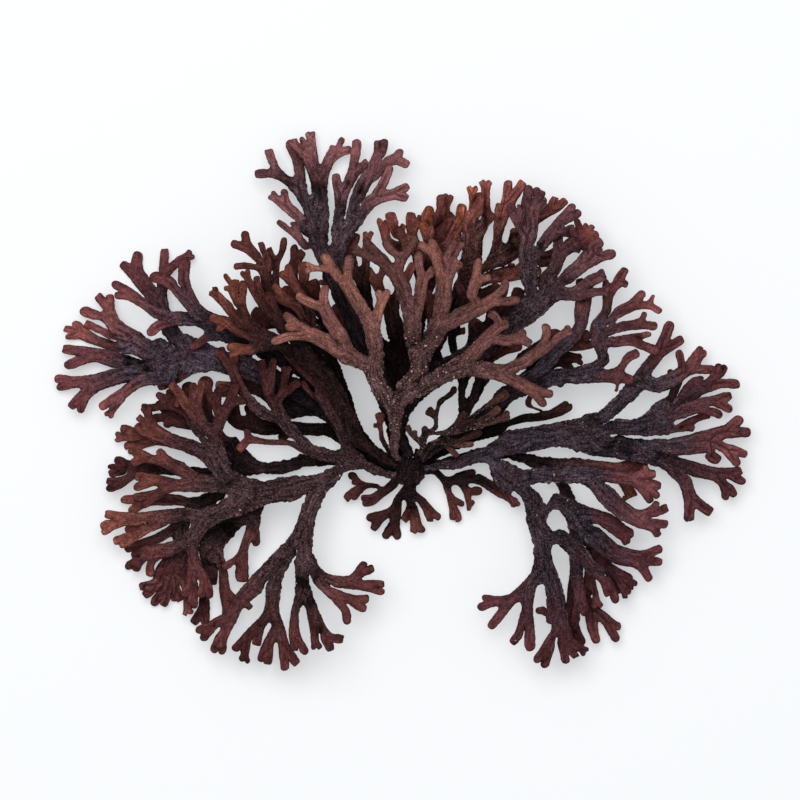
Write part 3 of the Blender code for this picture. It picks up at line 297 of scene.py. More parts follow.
UPPER_LEFT = """
-1.2,-1.2 -5,0.9 -9.6,4.8 -14,9.4 -20,14.6 -28,19 -36,22.6 -45,25.4 -51.5,26.4 w6.4
 -56,31 -58.6,35.6 -60.4,40.4 w5.2 d3
  -63.6,44 -66.2,47.4 w4.8
   -65.6,52.6 w3.2
   -69.9,49.8 w2.8
  -59.4,44.6 -58.9,47 w3.4
   -58.9,53.6 w2.6
   -55.4,50.2 -51.9,52 w2.6
 -57.4,25.2 w8
  -62,27.6 -66,29.6 w6
   -70.6,33.4 -72.9,36.6 w4.6
    -73,39 w4.2
     -76,42
     -72.5,42
    -76.4,36.8 -80,38 w3
   -72,31.4 -75,33 -79,34.9 w2.2
   -72,29 -77,30.8 -79.8,32.4 w3
    -81.7,35.2 w2.2
    -84.4,33.6 w2.4
    -83.6,31.2 w1.6
  -66,24 -72,25.8 -76.6,26.8 w4.6
   -84.8,28.4 w2.9
   -84,23.8 w3
  -63,22.4 -70,21.6 -76.6,19.6 w5
   -82,19.9 w3.8
    -86.4,21
    -85.9,18.6
   -79.4,16 w4
    -82.8,13.4
    -79.8,12.2
  -64,20.6 -69,17.2 w3.8
   -75,13.4
   -73.2,11.2 w2.2
 -56.6,20.8 w4 d2
  -60.8,18.8
  -62.6,20
"""

UPPER_LEFT_MID = """
-1,-0.5 -5.4,1 -10.6,5 -14.4,12 -18.4,18.4 -25,23.4 -33,27.4 -41,31.2 -46,33.4 w5
 -49.6,36.6 -52.8,40.6 w4.4
  -53.9,44.8 -53.6,51.2 w3.5
  -57.6,45 -62.4,46.5 w3.5
 -51.6,35.6 -56.4,35.8 w4.2
  -60.2,34 -63,31.6 w3
  -60.6,37 -64.4,39.8 -67.6,42 w3.2
   -71.9,44.8
   -71.2,41.4
 -49.4,30.2 -52.4,28.4 w2.4 d2
"""

TOP_LEFT = """
-0.6,-0.1 -4.8,1.8 -10,5.8 -12.8,12.6 -15.6,20.6 -19,27.4 w4.4
 -24.4,32.4 -29.2,37.2 -32,42.6 w4
  -33.4,48.2 w4.2
   -35.4,50.8 -38.1,53.4 w2.8
    -42.2,54.5 w2.6
    -38.8,57.6 w2.6
   -38,48.8 -41.4,48.7 w2
   -34.9,54.9 w1.8
  -31,49.4 w2.8
   -32.7,53.6 w1.5
   -29.2,53.2 -28.7,55.9 w2
 -22.2,34 w3.8 u2
  -25.4,38.4 -28.6,40.2 w3 u2
   -33.8,41.9 w2.4
   -31.6,44.1 w2.4
  -23.4,40 -26.2,43.8 -27.6,46 w2.8
   -30.1,46.9
   -27.9,49.2
"""

LEFT_CLUSTER = """
-0.9,-0.9 -5.2,1.6 -10.4,5.8 -13.6,12.8 -17.6,20.4 -23.6,26 w4.6
 -29.4,29.2 -34.4,30.4 w4
  -38.2,34.4 w3.4
   -40,39.8 w3.2
    -41.2,43.2 w3
     -43.8,43.2 w2
     -43.8,46.8 w1.5
     -40.8,45.8 w2.2
    -38.9,45.4 w2.4
   -43,38.8 -46.8,42.8 w3
  -39.4,32.4 -43.2,34.8 w3.6
   -47.6,36
   -45.6,32.4
  -37.2,27.8 -39.8,28.2 w3.4 u1
   -43.2,28.8 w2.6
   -42.4,26.2 w2.2
 -28.4,33 -31,36.2 w4.4 u1
  -33.8,39.2 w3.6
   -36.2,42.2 -38.7,47.4 w2.4
   -34.9,43 -35.8,46.4 w2
  -31.4,38.8 -33,41.8 w2.6 u3
"""

LEFT = """
-1.2,-3.4 -5,-2.4 -9,-0.6 -12.6,0.9 w4.4
 -14,6 -16.6,12 -19.4,17.6 w3.8
  -22.6,21.4 -25.4,24.4
   -29,27.8
   -26,29
  -18,22.6 -17.6,26.4
  -21.4,16.2 -24.6,20.2 d1 w2.6
 -17.8,1.6 -22.6,3.2 w4
  -26.7,7.4 -29.8,11.2 w3.6
   -31.4,14.4 w3.4
    -32.8,18.6 w2.8
     -34.8,25.8
     -31.4,26.4 r40
    -29,17.4 w2.8
     -28.2,24
     -24.8,20.4
   -34.4,12.4 -38.8,17 -42,23.4 w3.4
    -45.2,28
    -41,27.6
  -27.6,4.8 -33,5 -37.4,5.8 w1.8 d1
   -40.6,2.6
   -38.4,8.4
 -16,-2.4 -19.4,-5 w4.4
  -26.6,-6.4 -33.6,-7.6 -38.4,-8.2 w7.4
   -43,-3.4 -46.6,2 w5.2
    -46.4,7 w3.8
     -44.6,11.6 w3.4
      -42.4,15
       -40.4,20
       -38.2,15.5
      -46,14.8
       -45.2,18.8
       -48,18
     -49.4,9.4 -51.6,13.4 w3.6
      -54.4,16
       -57.4,19.8
       -56,13.4
      -51.6,19.8
      -49.2,20.6
    -51.4,3.6 -57,5.4 w4.2
     -62,7.8 w3.4
      -66.4,9.5
      -65.6,11.4
      -63.6,13.8
    -50.2,7.4 -53.6,12.6 -57,15 w2.8 d2
     -61,17.2
     -64.4,13
     -57.6,18.2
   -45,-5.4 -51.4,-5 w5.2
    -54.6,-2 -58.8,0.4 w4.2
     -64,1.4
      -66.8,2.6
      -67.3,-0.6
     -60.4,3.2
    -57.2,-5.6 w4.2
     -61.6,-4.4
      -66.4,-3.4
      -66.6,-6.6
     -61.4,-8.4 w3
      -64.6,-11.2
      -67,-9
   -43.4,-11.6 -48.4,-14 w6
    -54.6,-13 -59.6,-14 w4.2
     -65.4,-14.2 -69.2,-14.2 w3.8
      -74,-12.9
      -72.4,-15.7 w3.2
       -74.8,-16.2
       -74.3,-17.9
     -64.2,-16.6
      -68.8,-17
      -67.6,-18.9
       -71.8,-20.1
       -70.3,-21
    -52,-19 w4.8
     -57.4,-21.6 -62,-22.8 w4
      -67.5,-23.8
      -65.6,-24.9
       -68.5,-26.6
       -66.2,-27.2
      -62.4,-25.6
       -62.5,-28.6
     -51.4,-25.4 w3.8
      -51.9,-31
       -51.9,-36 w3
       -54.6,-33.4
      -48.6,-30
       -47.4,-34
       -50,-34
  -21.4,-8.8 -23.2,-13.6 -24.4,-18.8 w5
   -27.6,-21.4 -31.3,-26.4 w4.8
    -36.2,-30.8 -39.3,-34 w5
     -37.2,-36.4 d1
     -42,-38.2 w3.6
      -47.2,-41
       -51.1,-42.3
       -49.6,-44.5
      -44.4,-43.4
       -46.8,-47.6
       -44.7,-48
    -31.6,-31.2 -32,-36.8 w4.6
     -35.4,-41.2 w3.4
      -38.6,-44.4
       -41.7,-47
       -39,-49.8
      -36,-46
     -30.6,-41
      -33.2,-46.4 w3
       -35,-49.7
       -33.2,-50.8
      -28.9,-46.4 w3.2
       -28.7,-52
       -25.4,-50.7
   -24,-23.6 w4.4
    -24.2,-31.8 w4.2
     -26.4,-38.2
      -26.2,-43.6
       -26.1,-47.2
       -23.4,-47.9
     -21.4,-38.6 w3.4
      -20.9,-46.4 w2.8
      -18.4,-43.4
       -17,-47.2
       -13.9,-44.1
    -20.2,-28.8 w3.8
     -16.4,-29.7 -12.2,-29.9
      -9.8,-27.2
       -8.7,-24.8
       -6.2,-26.2
      -7.6,-30.8
       -3.7,-30.3
       -4,-32.5
     -16,-33.2
      -13.6,-37
       -13.2,-40.4
      -11.4,-34.7
       -7.5,-33.9
       -8.6,-37
"""

LEFT_BACK = """
-1.2,-2.6 -6,-1.2 -11,0.8 -17,1 -23,0.6 -30,-1.4 -36,-1.4 -40.6,0.8 w4
 -43.8,5 -47.4,9 w3.6
  -49.4,13 w4
   -48.4,21.6 w4.4
   -53.8,20 w4.6
  -52.6,9.4 -57,11.2
   -60.9,15
   -62,10.9
   -58.8,8.6
 -47,2 -54,4.4 w4
  -60.6,6
   -65.4,6.8
    -70,8.4
    -71.2,6.3
   -65.8,4.4
    -69.2,3.7
    -68,2.2
 -46,-2.6 -53,-2.6 w3.4
  -60,-1.6 -65.6,-1.8 w3.4
   -69,-1.2
    -71.4,0.6
    -73,-1
    -72.9,-3.1
   -69.6,-5
    -73.6,-4.7
    -73.5,-6.7
 -45,-7.6 -50.6,-10.6 w4
  -57.4,-9.4 -63.6,-9.6 w3.4
   -70,-9.4
   -67.8,-12.6
  -54.6,-15.6 w3.6
   -60,-18.8 -64.6,-20.8
    -69,-21.8
    -63.4,-23.6
   -54.6,-21.6 -57,-27 w5.6
    -53,-32
     -52.9,-38.2
     -51.4,-36.6
    -60.6,-30.2
     -65.4,-31.4
     -64.3,-33.6
    -58.6,-32.2 w4.6
     -61.9,-35.9
     -59.6,-36.3
    -56.2,-32.4 w3 d1
     -56.3,-35.2
     -54.9,-35.2
 -36.4,-8 -37.8,-12.8 w6.4
  -44.8,-17 -47.2,-21.4 w7.4
   -47.6,-26 w5
    -46.8,-31.2 w3
    -49.2,-37.2 w3.2
     -52.1,-40.6
     -48.6,-40.9
   -44.2,-27.4
    -43.8,-32.4 w3.2
     -43,-37.9 w2.8
     -40.4,-35.2
  -36.9,-16.8 w4.2
   -36,-21
   -39.4,-23.4
    -44.4,-26.6 w2
    -39.4,-30.4 w4
"""

INNER_LEFT = """
-1.3,-1.9 -5.4,-0.2 -9.6,2.6 -12.6,5.6 w4.2
 -16.8,11.4 -21.6,13.4 -26.6,14.6 w4.4
  -33,16.8 -38,20 w4.2
   -42.4,23
    -46.6,24.4
    -46,27.2
   -39.8,24.4
    -40.8,28
    -37,27.6
   -42.4,18.6
    -46.2,19.4
    -45,16.6
  -31,17 -32.4,19.6 -33.3,22.6 w3.6
   -34,25.2
   -31.5,26.2
  -28.8,18.8 w3.6
   -28.2,22.4
    -27.4,24.6
    -29.2,25.2
   -25.3,20.6 w3
  -21.4,19.4 -20.4,24.6 w4
   -22.6,29
   -18.4,29.6
 -17.4,8 -22.6,8.2 -27,8.4 w3.8 d1
  -31.6,8.6 -36,9.2 w4.6
   -41,10.4 w4.6
    -44.6,13.6
    -41.4,15
   -38.4,14.4
  -30.4,5.6
"""

RIGHT = """
6,-1.6 9.6,-0.9 14.4,-0.2 19,1.4 22,2 w4
 27,4.6 33.6,6 40,7 46.6,6.8 w7
  51,11.6 56,16.4 59.8,20.2 w4.6
   62,24 65,28 w3.6
    67.6,35.2 w3
    71,31 w3
   64,19.2 68,20.8 w4.6
    72,23.4 w4.4
     75.8,28.4 w3.8
     78.6,23
  53.6,8.8 59.6,8.8 65.6,11 w5.6
   67.4,15.8 69,20 w2.4
    70.2,24.2 69.2,28 u1 w2.6
    66.8,23
   69.8,14.6 w4.4
    73.6,18.6
     75.6,21.2 r60
     78.8,21.6
      81.2,24.3
      79.7,24.6 r40
     79.6,19.6 84.7,19.4 w2.8
   69.8,12.4 74,14 w4.2
    79,15.2
     83,16.9 w3
     82.8,12.8
    77.6,12.6 80.2,11.5 d1
   67.4,8 71.4,9.2 w3.6 d2
    77.2,12.2 w2.4
    73.6,8
  53.8,3.8 60,2.8 w6.6
   67.6,3.8 76.8,5.3 w5.2
    81.4,7.6 w3.6
     85.4,11.3 w3
     87.6,7.5 w3
    81.4,3.2
     86.5,1.8
     84.5,-0.8
    77.2,1.8 79.6,0.1 w3.6 d2
   64.8,1 68.3,-1 w4.8
    73.4,-1.8 78.6,-3 w4.4
     82.4,-2.9
      85.6,-2
      86.2,-5.2
     81.4,-6.4
      83.7,-8.5
      80.9,-9.5
    71,-5 72.4,-9.2 w3.9
     71.9,-15 w3
     78.1,-13 w3.2
 24.8,-1.6 28.4,-4.8 w6.4
  34.6,-3.2 42,-3.2 w4.8
   47.4,-3.6 w4.6
    53,-3.6 57.6,-4.2 w4
     61,-3
      63.8,-2.8
      60.8,-0.8
     61,-6.2
      64.9,-5.8
      64.3,-8.8
      62.6,-10
    50.4,-7.6 54.8,-11.6 59,-14 w5.4
     63,-12.2
      66.9,-11.1
      64,-9.8
     62.8,-15.6 w4
      66.8,-15.3
      64.2,-18.6
  26.6,-7.2 29.6,-11 w2.8 d2
  32.4,-8.6 33.9,-13 w5.4
   38.8,-9.6 43.6,-13 w4.8
    48,-18.2 53.6,-22.8 w6
     59.4,-24.3 w4.8
      65.2,-21.4
      65.4,-25
      62.4,-29.7
    51.4,-14.6 56,-18 w4.8
     56.7,-20.8
     58.4,-17.6
   35.6,-19 w5.5
    39.4,-18.4 44,-22.4 w4.6
     47.4,-26.2 w4
      51.2,-29.6
       53.9,-35.2
       51.8,-33.8
      53.8,-27.8
       56.8,-33.2
       58.4,-31
     44,-28 w4
      44.8,-34.4 w3.4
       43.4,-41.8
       45.8,-38.4
    35.8,-26.2 w5
     31.6,-31.8 w4.4
      26.8,-34.9 w3.4
       22.6,-34.6
        20.4,-33.5
        19.2,-36.5
       22.2,-41.5 w2.8
      31.4,-38.6 w3.8
       29.6,-42.6
        27.6,-45.3
       32.3,-47.2 w3.2
     38.4,-32 39.2,-40 w5
      37,-45.6
       33.5,-50.1
       35.7,-51.3
      41,-44.4 w4
       41.3,-50.2
       44,-49
       46.5,-47.5
      35.8,-37 d1
       33.6,-37
"""

RIGHT_BACK = """
5.8,-0.9 12,0.2 20,2 27,2.2 33,0.2 39,-1.2 w3.4
 46.4,-0.8 52.6,-1.8 w3.8
  57.4,-1
   62.2,-1.2 w3
   60,1.4 u1
  55.8,-5.2 57.6,-8.2
   58.4,-8.8 w3
   55.6,-9.2
 41.6,-8.6 44.2,-15.4 w4.4
  48,-21.8 w4
   52,-26.6
    58,-29.4
    55.2,-33
   47.2,-29.4
    49.1,-36.2
    47.2,-33.6
  44,-24 44,-31 w4.2
   47.8,-37 w3.8
    52.2,-40.4
     55.2,-41.4
     54.3,-44.8
    48,-41.6 w3.6
     49.2,-45.3
   42.4,-38.4 w3.6
    43.4,-42
     45.8,-45.8
     42.8,-45.6
    40.4,-43.4
 36.4,-5.2
"""

RIGHT_MIDDLE = """
5.2,0.4 11,4.9 17.4,8.8 21.6,12.2 w2.8
 25,15.8 29,18.4 w4.6
  36.4,20.8 42,21.4 w4.8
   47.4,22.2 w4.6
    50.4,25.4 49.6,29 w3.6
     49.4,32.4 w4.4
      51.2,37.6 51.7,41.8 w3
       54.2,45 w2.8
        56.3,48.4
        56.7,43.9
       51,45.6 w2.2
      53.8,37 w3.4
       58,39.2 w3
        60.8,42.7
        61.8,39.2 w2.4
         63.2,41.8 w1.4
         65,37.4 w2
      55.2,33.8 59.6,34.4 w3
       64,33.8 w2.6
       60.8,37.4 w2
     53,29.9 57,30.4 w3.4
      61.6,28.6 64.4,27.4 w2.8
      62.4,32 w1.8
    53.8,21.6 w4.4
     56.6,26 59.4,27.4 w2.8
     58,20.2 w3
     53.6,17.6 w1.4
  34.4,22.6 38.4,27.2 w4.2
   42.2,30.4 44.6,33.6 w4
    45.2,38 45.8,42.4 w4.8
     44.4,46
     47.2,45.6
"""

UPPER_RIGHT = """
2.4,1.5 -0.2,6 -0.2,12 4,18 10,22.4 17,26.4 23.6,31 29,35.4 33.8,39.4 w6.6
 32.2,44.6 31.6,50 w4.8
  31.8,56 w4.4
   29.2,60.4 w3.4
    27,64.4 w3
    29.9,64
   32.2,62.6 w3.8
    31.9,68.8 w2.8
    34.2,66.2
     33.9,68.4
     35.6,67.8
    36.6,64.8
  35.4,54.2 38.2,57.4 w3.4
   40.6,60.4
    43.4,64.1
    45,62.5
   42.2,57.4
    44.4,56.4
    43.4,58.4
 36.6,43 w6
  38.2,48 39.6,52.2 w4
   39,57.4 w3
   42.4,54 w3.4
    44.4,55
    45,52.6
  41.2,45.8 45,49 w4.4
   48.2,51.8 w3.8
    50.5,55.5 w3.2
    49.9,53.2
    53.6,52.1 w3
   46.6,53.2 45,53.4
  43,41.8 w4.8
   48.4,42.3 52,42.7
   47.2,45 51,46.9 w3.6
"""

UPPER_RIGHT_BACK = """
2.9,1.3 0.3,6 -0.4,12 3,20 8,29 12,37 15.6,43.2 17.6,46.4 w5.4
 18,51 17.8,56 w6.2
  18.4,62.4 w4.6
   17.8,68.6
   19.8,67.6
   15.8,60.6 15.2,64 d1
  21.8,61.4 w4.4
   21.1,69.9 w2.8
   24.4,61.2
 24.2,50.8 w5
  24.6,58.2 w3.4
   26,64 w4
    27,70.3 w3
    30.9,70.2 w3
    25,62.8
  29.2,54 w4.6
   28.4,58.2
   31.8,58.4 33.8,61.2 w4.6
    35,65
     36.2,66
     33.6,66.8
    37.6,63
     38.8,66.4
     41.7,65.6
   36,50.6 42.4,54 w4.6
    46,56.8 w5.6
     43.9,60.6
     46,59.7
     48.1,59
     49.4,57
 21.6,45.8 28,47.2 w3.4
  31,50.2
  27.6,49.4 r40
  33.4,47.4 35.2,48.1
"""

INNER_TOP = """
0.5,1.1 -1.7,6 -2,12 -2.4,18 -1.6,25 w5
 -1,32 -2.4,38.4 w5.2
  -5.8,44.6 w3.6
   -8.4,48.4
   -3.4,49.4
  0.2,44.4
   -0.4,48.4
   3.6,50
 -7.6,33.4 -9,39.4 w4.6
  -9.4,45 w4.6
   -12.4,49.4 -12.8,53 w4
    -10.8,57.4
    -12.9,55.4
   -8.6,52.4
    -8.1,57.4
  -14.4,43
   -19.4,45.6
   -16.6,47.4
 -12,28.4 w5
  -15,34.4 -16.4,39.4 w4.2
  -18.2,32.6 w5
   -20,37.6 -22.2,45.6 w4.2
   -24,37 w5
    -29.2,43.8 w3.6
    -24.8,42.2 w4
     -27,47.4 -25.9,51 w3.2
      -26.6,54.3
      -24,52.9
     -24,46.4 -24.4,50.4 w3.2
    -29,36.4 w5.4
     -34.6,40.4 w4.4
     -33,34.6 -37.2,38.2 w3.8
"""

INNER_RIGHT = """
5.5,-0.3 12,3.2 18,6.1 24.4,8.6 w2.8
 30.4,10.8 36,11.6 w2.6
  40.2,13.2 w2.8
   41.8,15
   42.8,14
  31.6,14.4 32.6,16.8 w1.8
 27.4,6 33,6.8 w2 d1
 24.4,13.6 28,18 32.6,21 w4.6
  37.4,21.6 w3.6
   42.4,20.8
   40.6,19
  35,24 39.6,26 w5.2
   45.4,25.6 w3
   43.2,22.8
"""

INNER_UP = """
4.7,1 8.4,4.2 14.4,9.2 15.9,12.6 w2.8
 15.2,18 16,21.6 w2.2
  17.8,26.4 19.6,32 w4.6
   24,35.8 w4.6
    21.4,40.4
    26,44
    28.8,39.6 29.6,43.4 w4
    27.9,33.4 w3
   18.2,35.8 w4.6
  15,24.6 13.4,27.8 12.8,32 w2.2
   16.2,32.8 w2.6
   16.6,40.4 w4.4
    14,44.8
    20.8,46.6
    24.4,43.4 w3.4
  12,22.6 9,26 8.4,31.4 w3.4
   8,38.4 w4.4
    6.6,43
    10.6,44.4
 18.6,16.8 20.4,20.8 w3
  23,23 27,22.8 w3.4
   31,25.6 36.6,29.2 43,30.2 w4.6
    47.6,32 w3.4
    48.4,29.4
    35.6,31.6 w3
  21.6,25.4 25.4,28 w3.4
   30.2,29
   27.6,30.8
"""

TWIG_RIGHT_UPPER = """
4.6,1.6 5.6,4.2 w2.8
 3.4,6.4 w2.4
  1.4,9.4 w1.6
  3.6,8
 6.1,7 w3
  5.8,9.1
  12,7.6 w2.3
   14.4,9.6
    16.4,12.7 w2.1
    19,10.4 w1.7
   19.6,9.6 w1.8
    23.4,12.2 24.8,13.8
    27.3,11.7
  8.8,8.4 8.8,11.2 w1.4 d2
   9.6,14.8 12.6,17 w1.6
    13.8,18.8
   7.4,12.6
    6.2,12.6
    7.1,13.6
"""

TWIG_RIGHT_LOWER = """
5.2,1 7.6,4.4 10.2,5.2 w2.3
 13.6,4.6
  16.6,6.2 w2
   20.2,7.7
  18.2,4.5 w1.9
 13,2.8 14.3,1.4 w1.9
 15.8,9.8 22,14.4 w1.4
  27.2,17.5
"""

TWIG_LEFT = """
-1.2,1.4 -2.9,2.9 -4.6,6 w1.5
 -5,8.8 w1.3
  -6.8,9.1
  -5.1,11
   -5.8,12.7
   -4.4,12.4
"""

SPRIG_LOW_LEFT = """
1.4,2.6 0.8,-0.8 -0.6,-3.8 -2.2,-5.8 -4.2,-7.3 w3.2
 -7,-9.3
  -9.5,-10.6 w2.4
  -9.9,-9
 -5.8,-6 -8.6,-5.8 w1.5
  -10.4,-5.2 w1.3
   -12.2,-4.9
   -12.8,-2.7
  -10.3,-6.7
   -11.9,-8.2
    -13.9,-9.7
    -11.4,-9.5
"""

SPRIG_LOW_MIDDLE = """
4.4,3 3.6,-0.6 2.8,-4.6 2,-7.2 w4.6
 -0.6,-9.4 -1.2,-12 w2.8
  -5.2,-13.8 w2.6
   -8.6,-13.8
   -7,-17.2
  -1.7,-16
   -4.2,-19
   -0.4,-19.4
 2.9,-11.8 w3.4
  0.7,-14.8 d1
  3.9,-15.8
   3,-17.8
   5.8,-17.5
 5.4,-9.8 w2.8
  7.4,-12.7
   7.5,-15
   10,-14.1
"""

SPRIG_LOW_RIGHT = """
5.8,-2.4 8.6,-2.2 11,-4.6 w3.6
 12.6,-9 w2.6
  13.5,-12.2 w2.4
   12.9,-14.9
   14.7,-15.1
  16,-10.8 w1.8
 14.6,-4.2 w3.8
  16.5,-7.2 w2.6
   17.2,-10.4 w2
    17,-12.2 w1.5
    18.4,-9.8
   20.4,-7
  19.4,-4.2 24,-7 w3.5
   28.9,-10.3
  18.8,-2.4 w2.4
"""

# name, layer, heights at distances from the holdfast, material slot, outline
FRONDS = (
    ("frond_top_back", 1, ((4, 2.5), (20, 6), (50, 7), (70, 6)), "maroon", TOP_BACK),
    ("frond_left_back", 2, ((4, 2.0), (20, 3), (45, 3.5), (80, 2)), "maroon", LEFT_BACK),
    ("frond_right_back", 2, ((4, 2.0), (20, 3), (45, 3.5), (80, 2)), "maroon", RIGHT_BACK),
    ("frond_upper_right_back", 3, ((4, 3.0), (20, 7), (50, 8), (75, 7)), "red", UPPER_RIGHT_BACK),
    ("frond_inner_top", 2, ((4, 3.0), (20, 7), (50, 8)), "dark", INNER_TOP),
    ("frond_inner_left", 3, ((4, 2.5), (20, 6), (50, 7)), "dark", INNER_LEFT),
    ("frond_top", 4, ((4, 4.5), (20, 9), (50, 10), (90, 4)), "slate", TOP),
    ("frond_upper_left", 4, ((4, 4.0), (20, 8), (50, 8), (90, 2)), "slate", UPPER_LEFT),
    ("frond_inner_right", 4, ((4, 3.5), (20, 6), (50, 7)), "dark", INNER_RIGHT),
    ("sprig_low_left", 4, ((2, 8.5), (6, 7.5), (10, 4.5), (16, 3), (22, 2)), "dark", SPRIG_LOW_LEFT),
    ("sprig_low_middle", 4, ((2, 7.5), (6, 6), (12, 3.5), (20, 1.5)), "dark", SPRIG_LOW_MIDDLE),
    ("sprig_low_right", 4, ((4, 2.5), (12, 2.5), (20, 2)), "dark", SPRIG_LOW_RIGHT),
    ("frond_inner_up", 5, ((4, 5.0), (20, 10), (50, 14)), "dark", INNER_UP),
    ("frond_upper_left_mid", 6, ((4, 5.5), (20, 11), (50, 14), (80, 10)), "slate", UPPER_LEFT_MID),
    ("frond_left", 7, ((4, 5.5), (20, 9), (45, 11), (75, 5), (80, 4)), "maroon", LEFT),
    ("frond_right", 7, ((4, 5.5), (20, 9), (45, 11), (75, 6), (90, 4)), "maroon", RIGHT),
    ("frond_top_left", 7, ((4, 6.5), (20, 13), (50, 17), (70, 15)), "red", TOP_LEFT),
    ("frond_left_cluster", 8, ((4, 7.0), (20, 14), (50, 18), (70, 16)), "red", LEFT_CLUSTER),
    ("frond_right_middle", 8, ((4, 6.5), (20, 12), (50, 15), (80, 11)), "slate", RIGHT_MIDDLE),
    ("frond_upper_right", 9, ((4, 7.5), (20, 14), (50, 17), (80, 13)), "slate", UPPER_RIGHT),
    ("twig_right_lower", 10, ((4, 8.0), (20, 13), (40, 15)), "twig", TWIG_RIGHT_LOWER),
    ("twig_right_upper", 11, ((4, 9.0), (20, 15), (40, 17)), "twig", TWIG_RIGHT_UPPER),
    ("twig_left", 11, ((4, 8.0), (20, 12)), "twig", TWIG_LEFT),
    ("frond_crown", 12, ((4, 9.0), (10, 14), (22, 22), (45, 28), (65, 25)), "tan", CROWN),
)


def read_outline(text):
    """The stretches of an outline as a tree: a line set further in forks off the line above it."""
    path = []
    first = None
    for row in text.splitlines():
        if not row.strip():
            continue
        depth = len(row) - len(row.lstrip())
        stretch = {"points": [], "wide": None, "rise": 0.0, "roll": 0.0, "forks": []}
        for word in row.split():
            if word[0] == "w":
                stretch["wide"] = float(word[1:])
            elif word[0] in "ud":
                stretch["rise"] = float(word[1:]) * (1 if word[0] == "u" else -1)
            elif word[0] == "r":
                stretch["roll"] = math.radians(float(word[1:]))
            else:
                x, y = (float(number) for number in word.split(","))
                stretch["points"].append(Vector((x - HOLDFAST_AT[0], y - HOLDFAST_AT[1])))
        del path[depth:]
        if path:
            path[-1]["forks"].append(stretch)
        else:
            first = stretch
        path.append(stretch)
    return first


def tips_of(stretch):
    return sum(tips_of(fork) for fork in stretch["forks"]) or 1


def width_of(stretch):
    if stretch["wide"]:
        return SLIMMER * stretch["wide"]
    tips = tips_of(stretch)
    least, gain, power = WIDTH_BY_TIPS
    return SLIMMER * (TIP_WIDTH if tips == 1 else min(WIDEST, least + gain * tips**power))


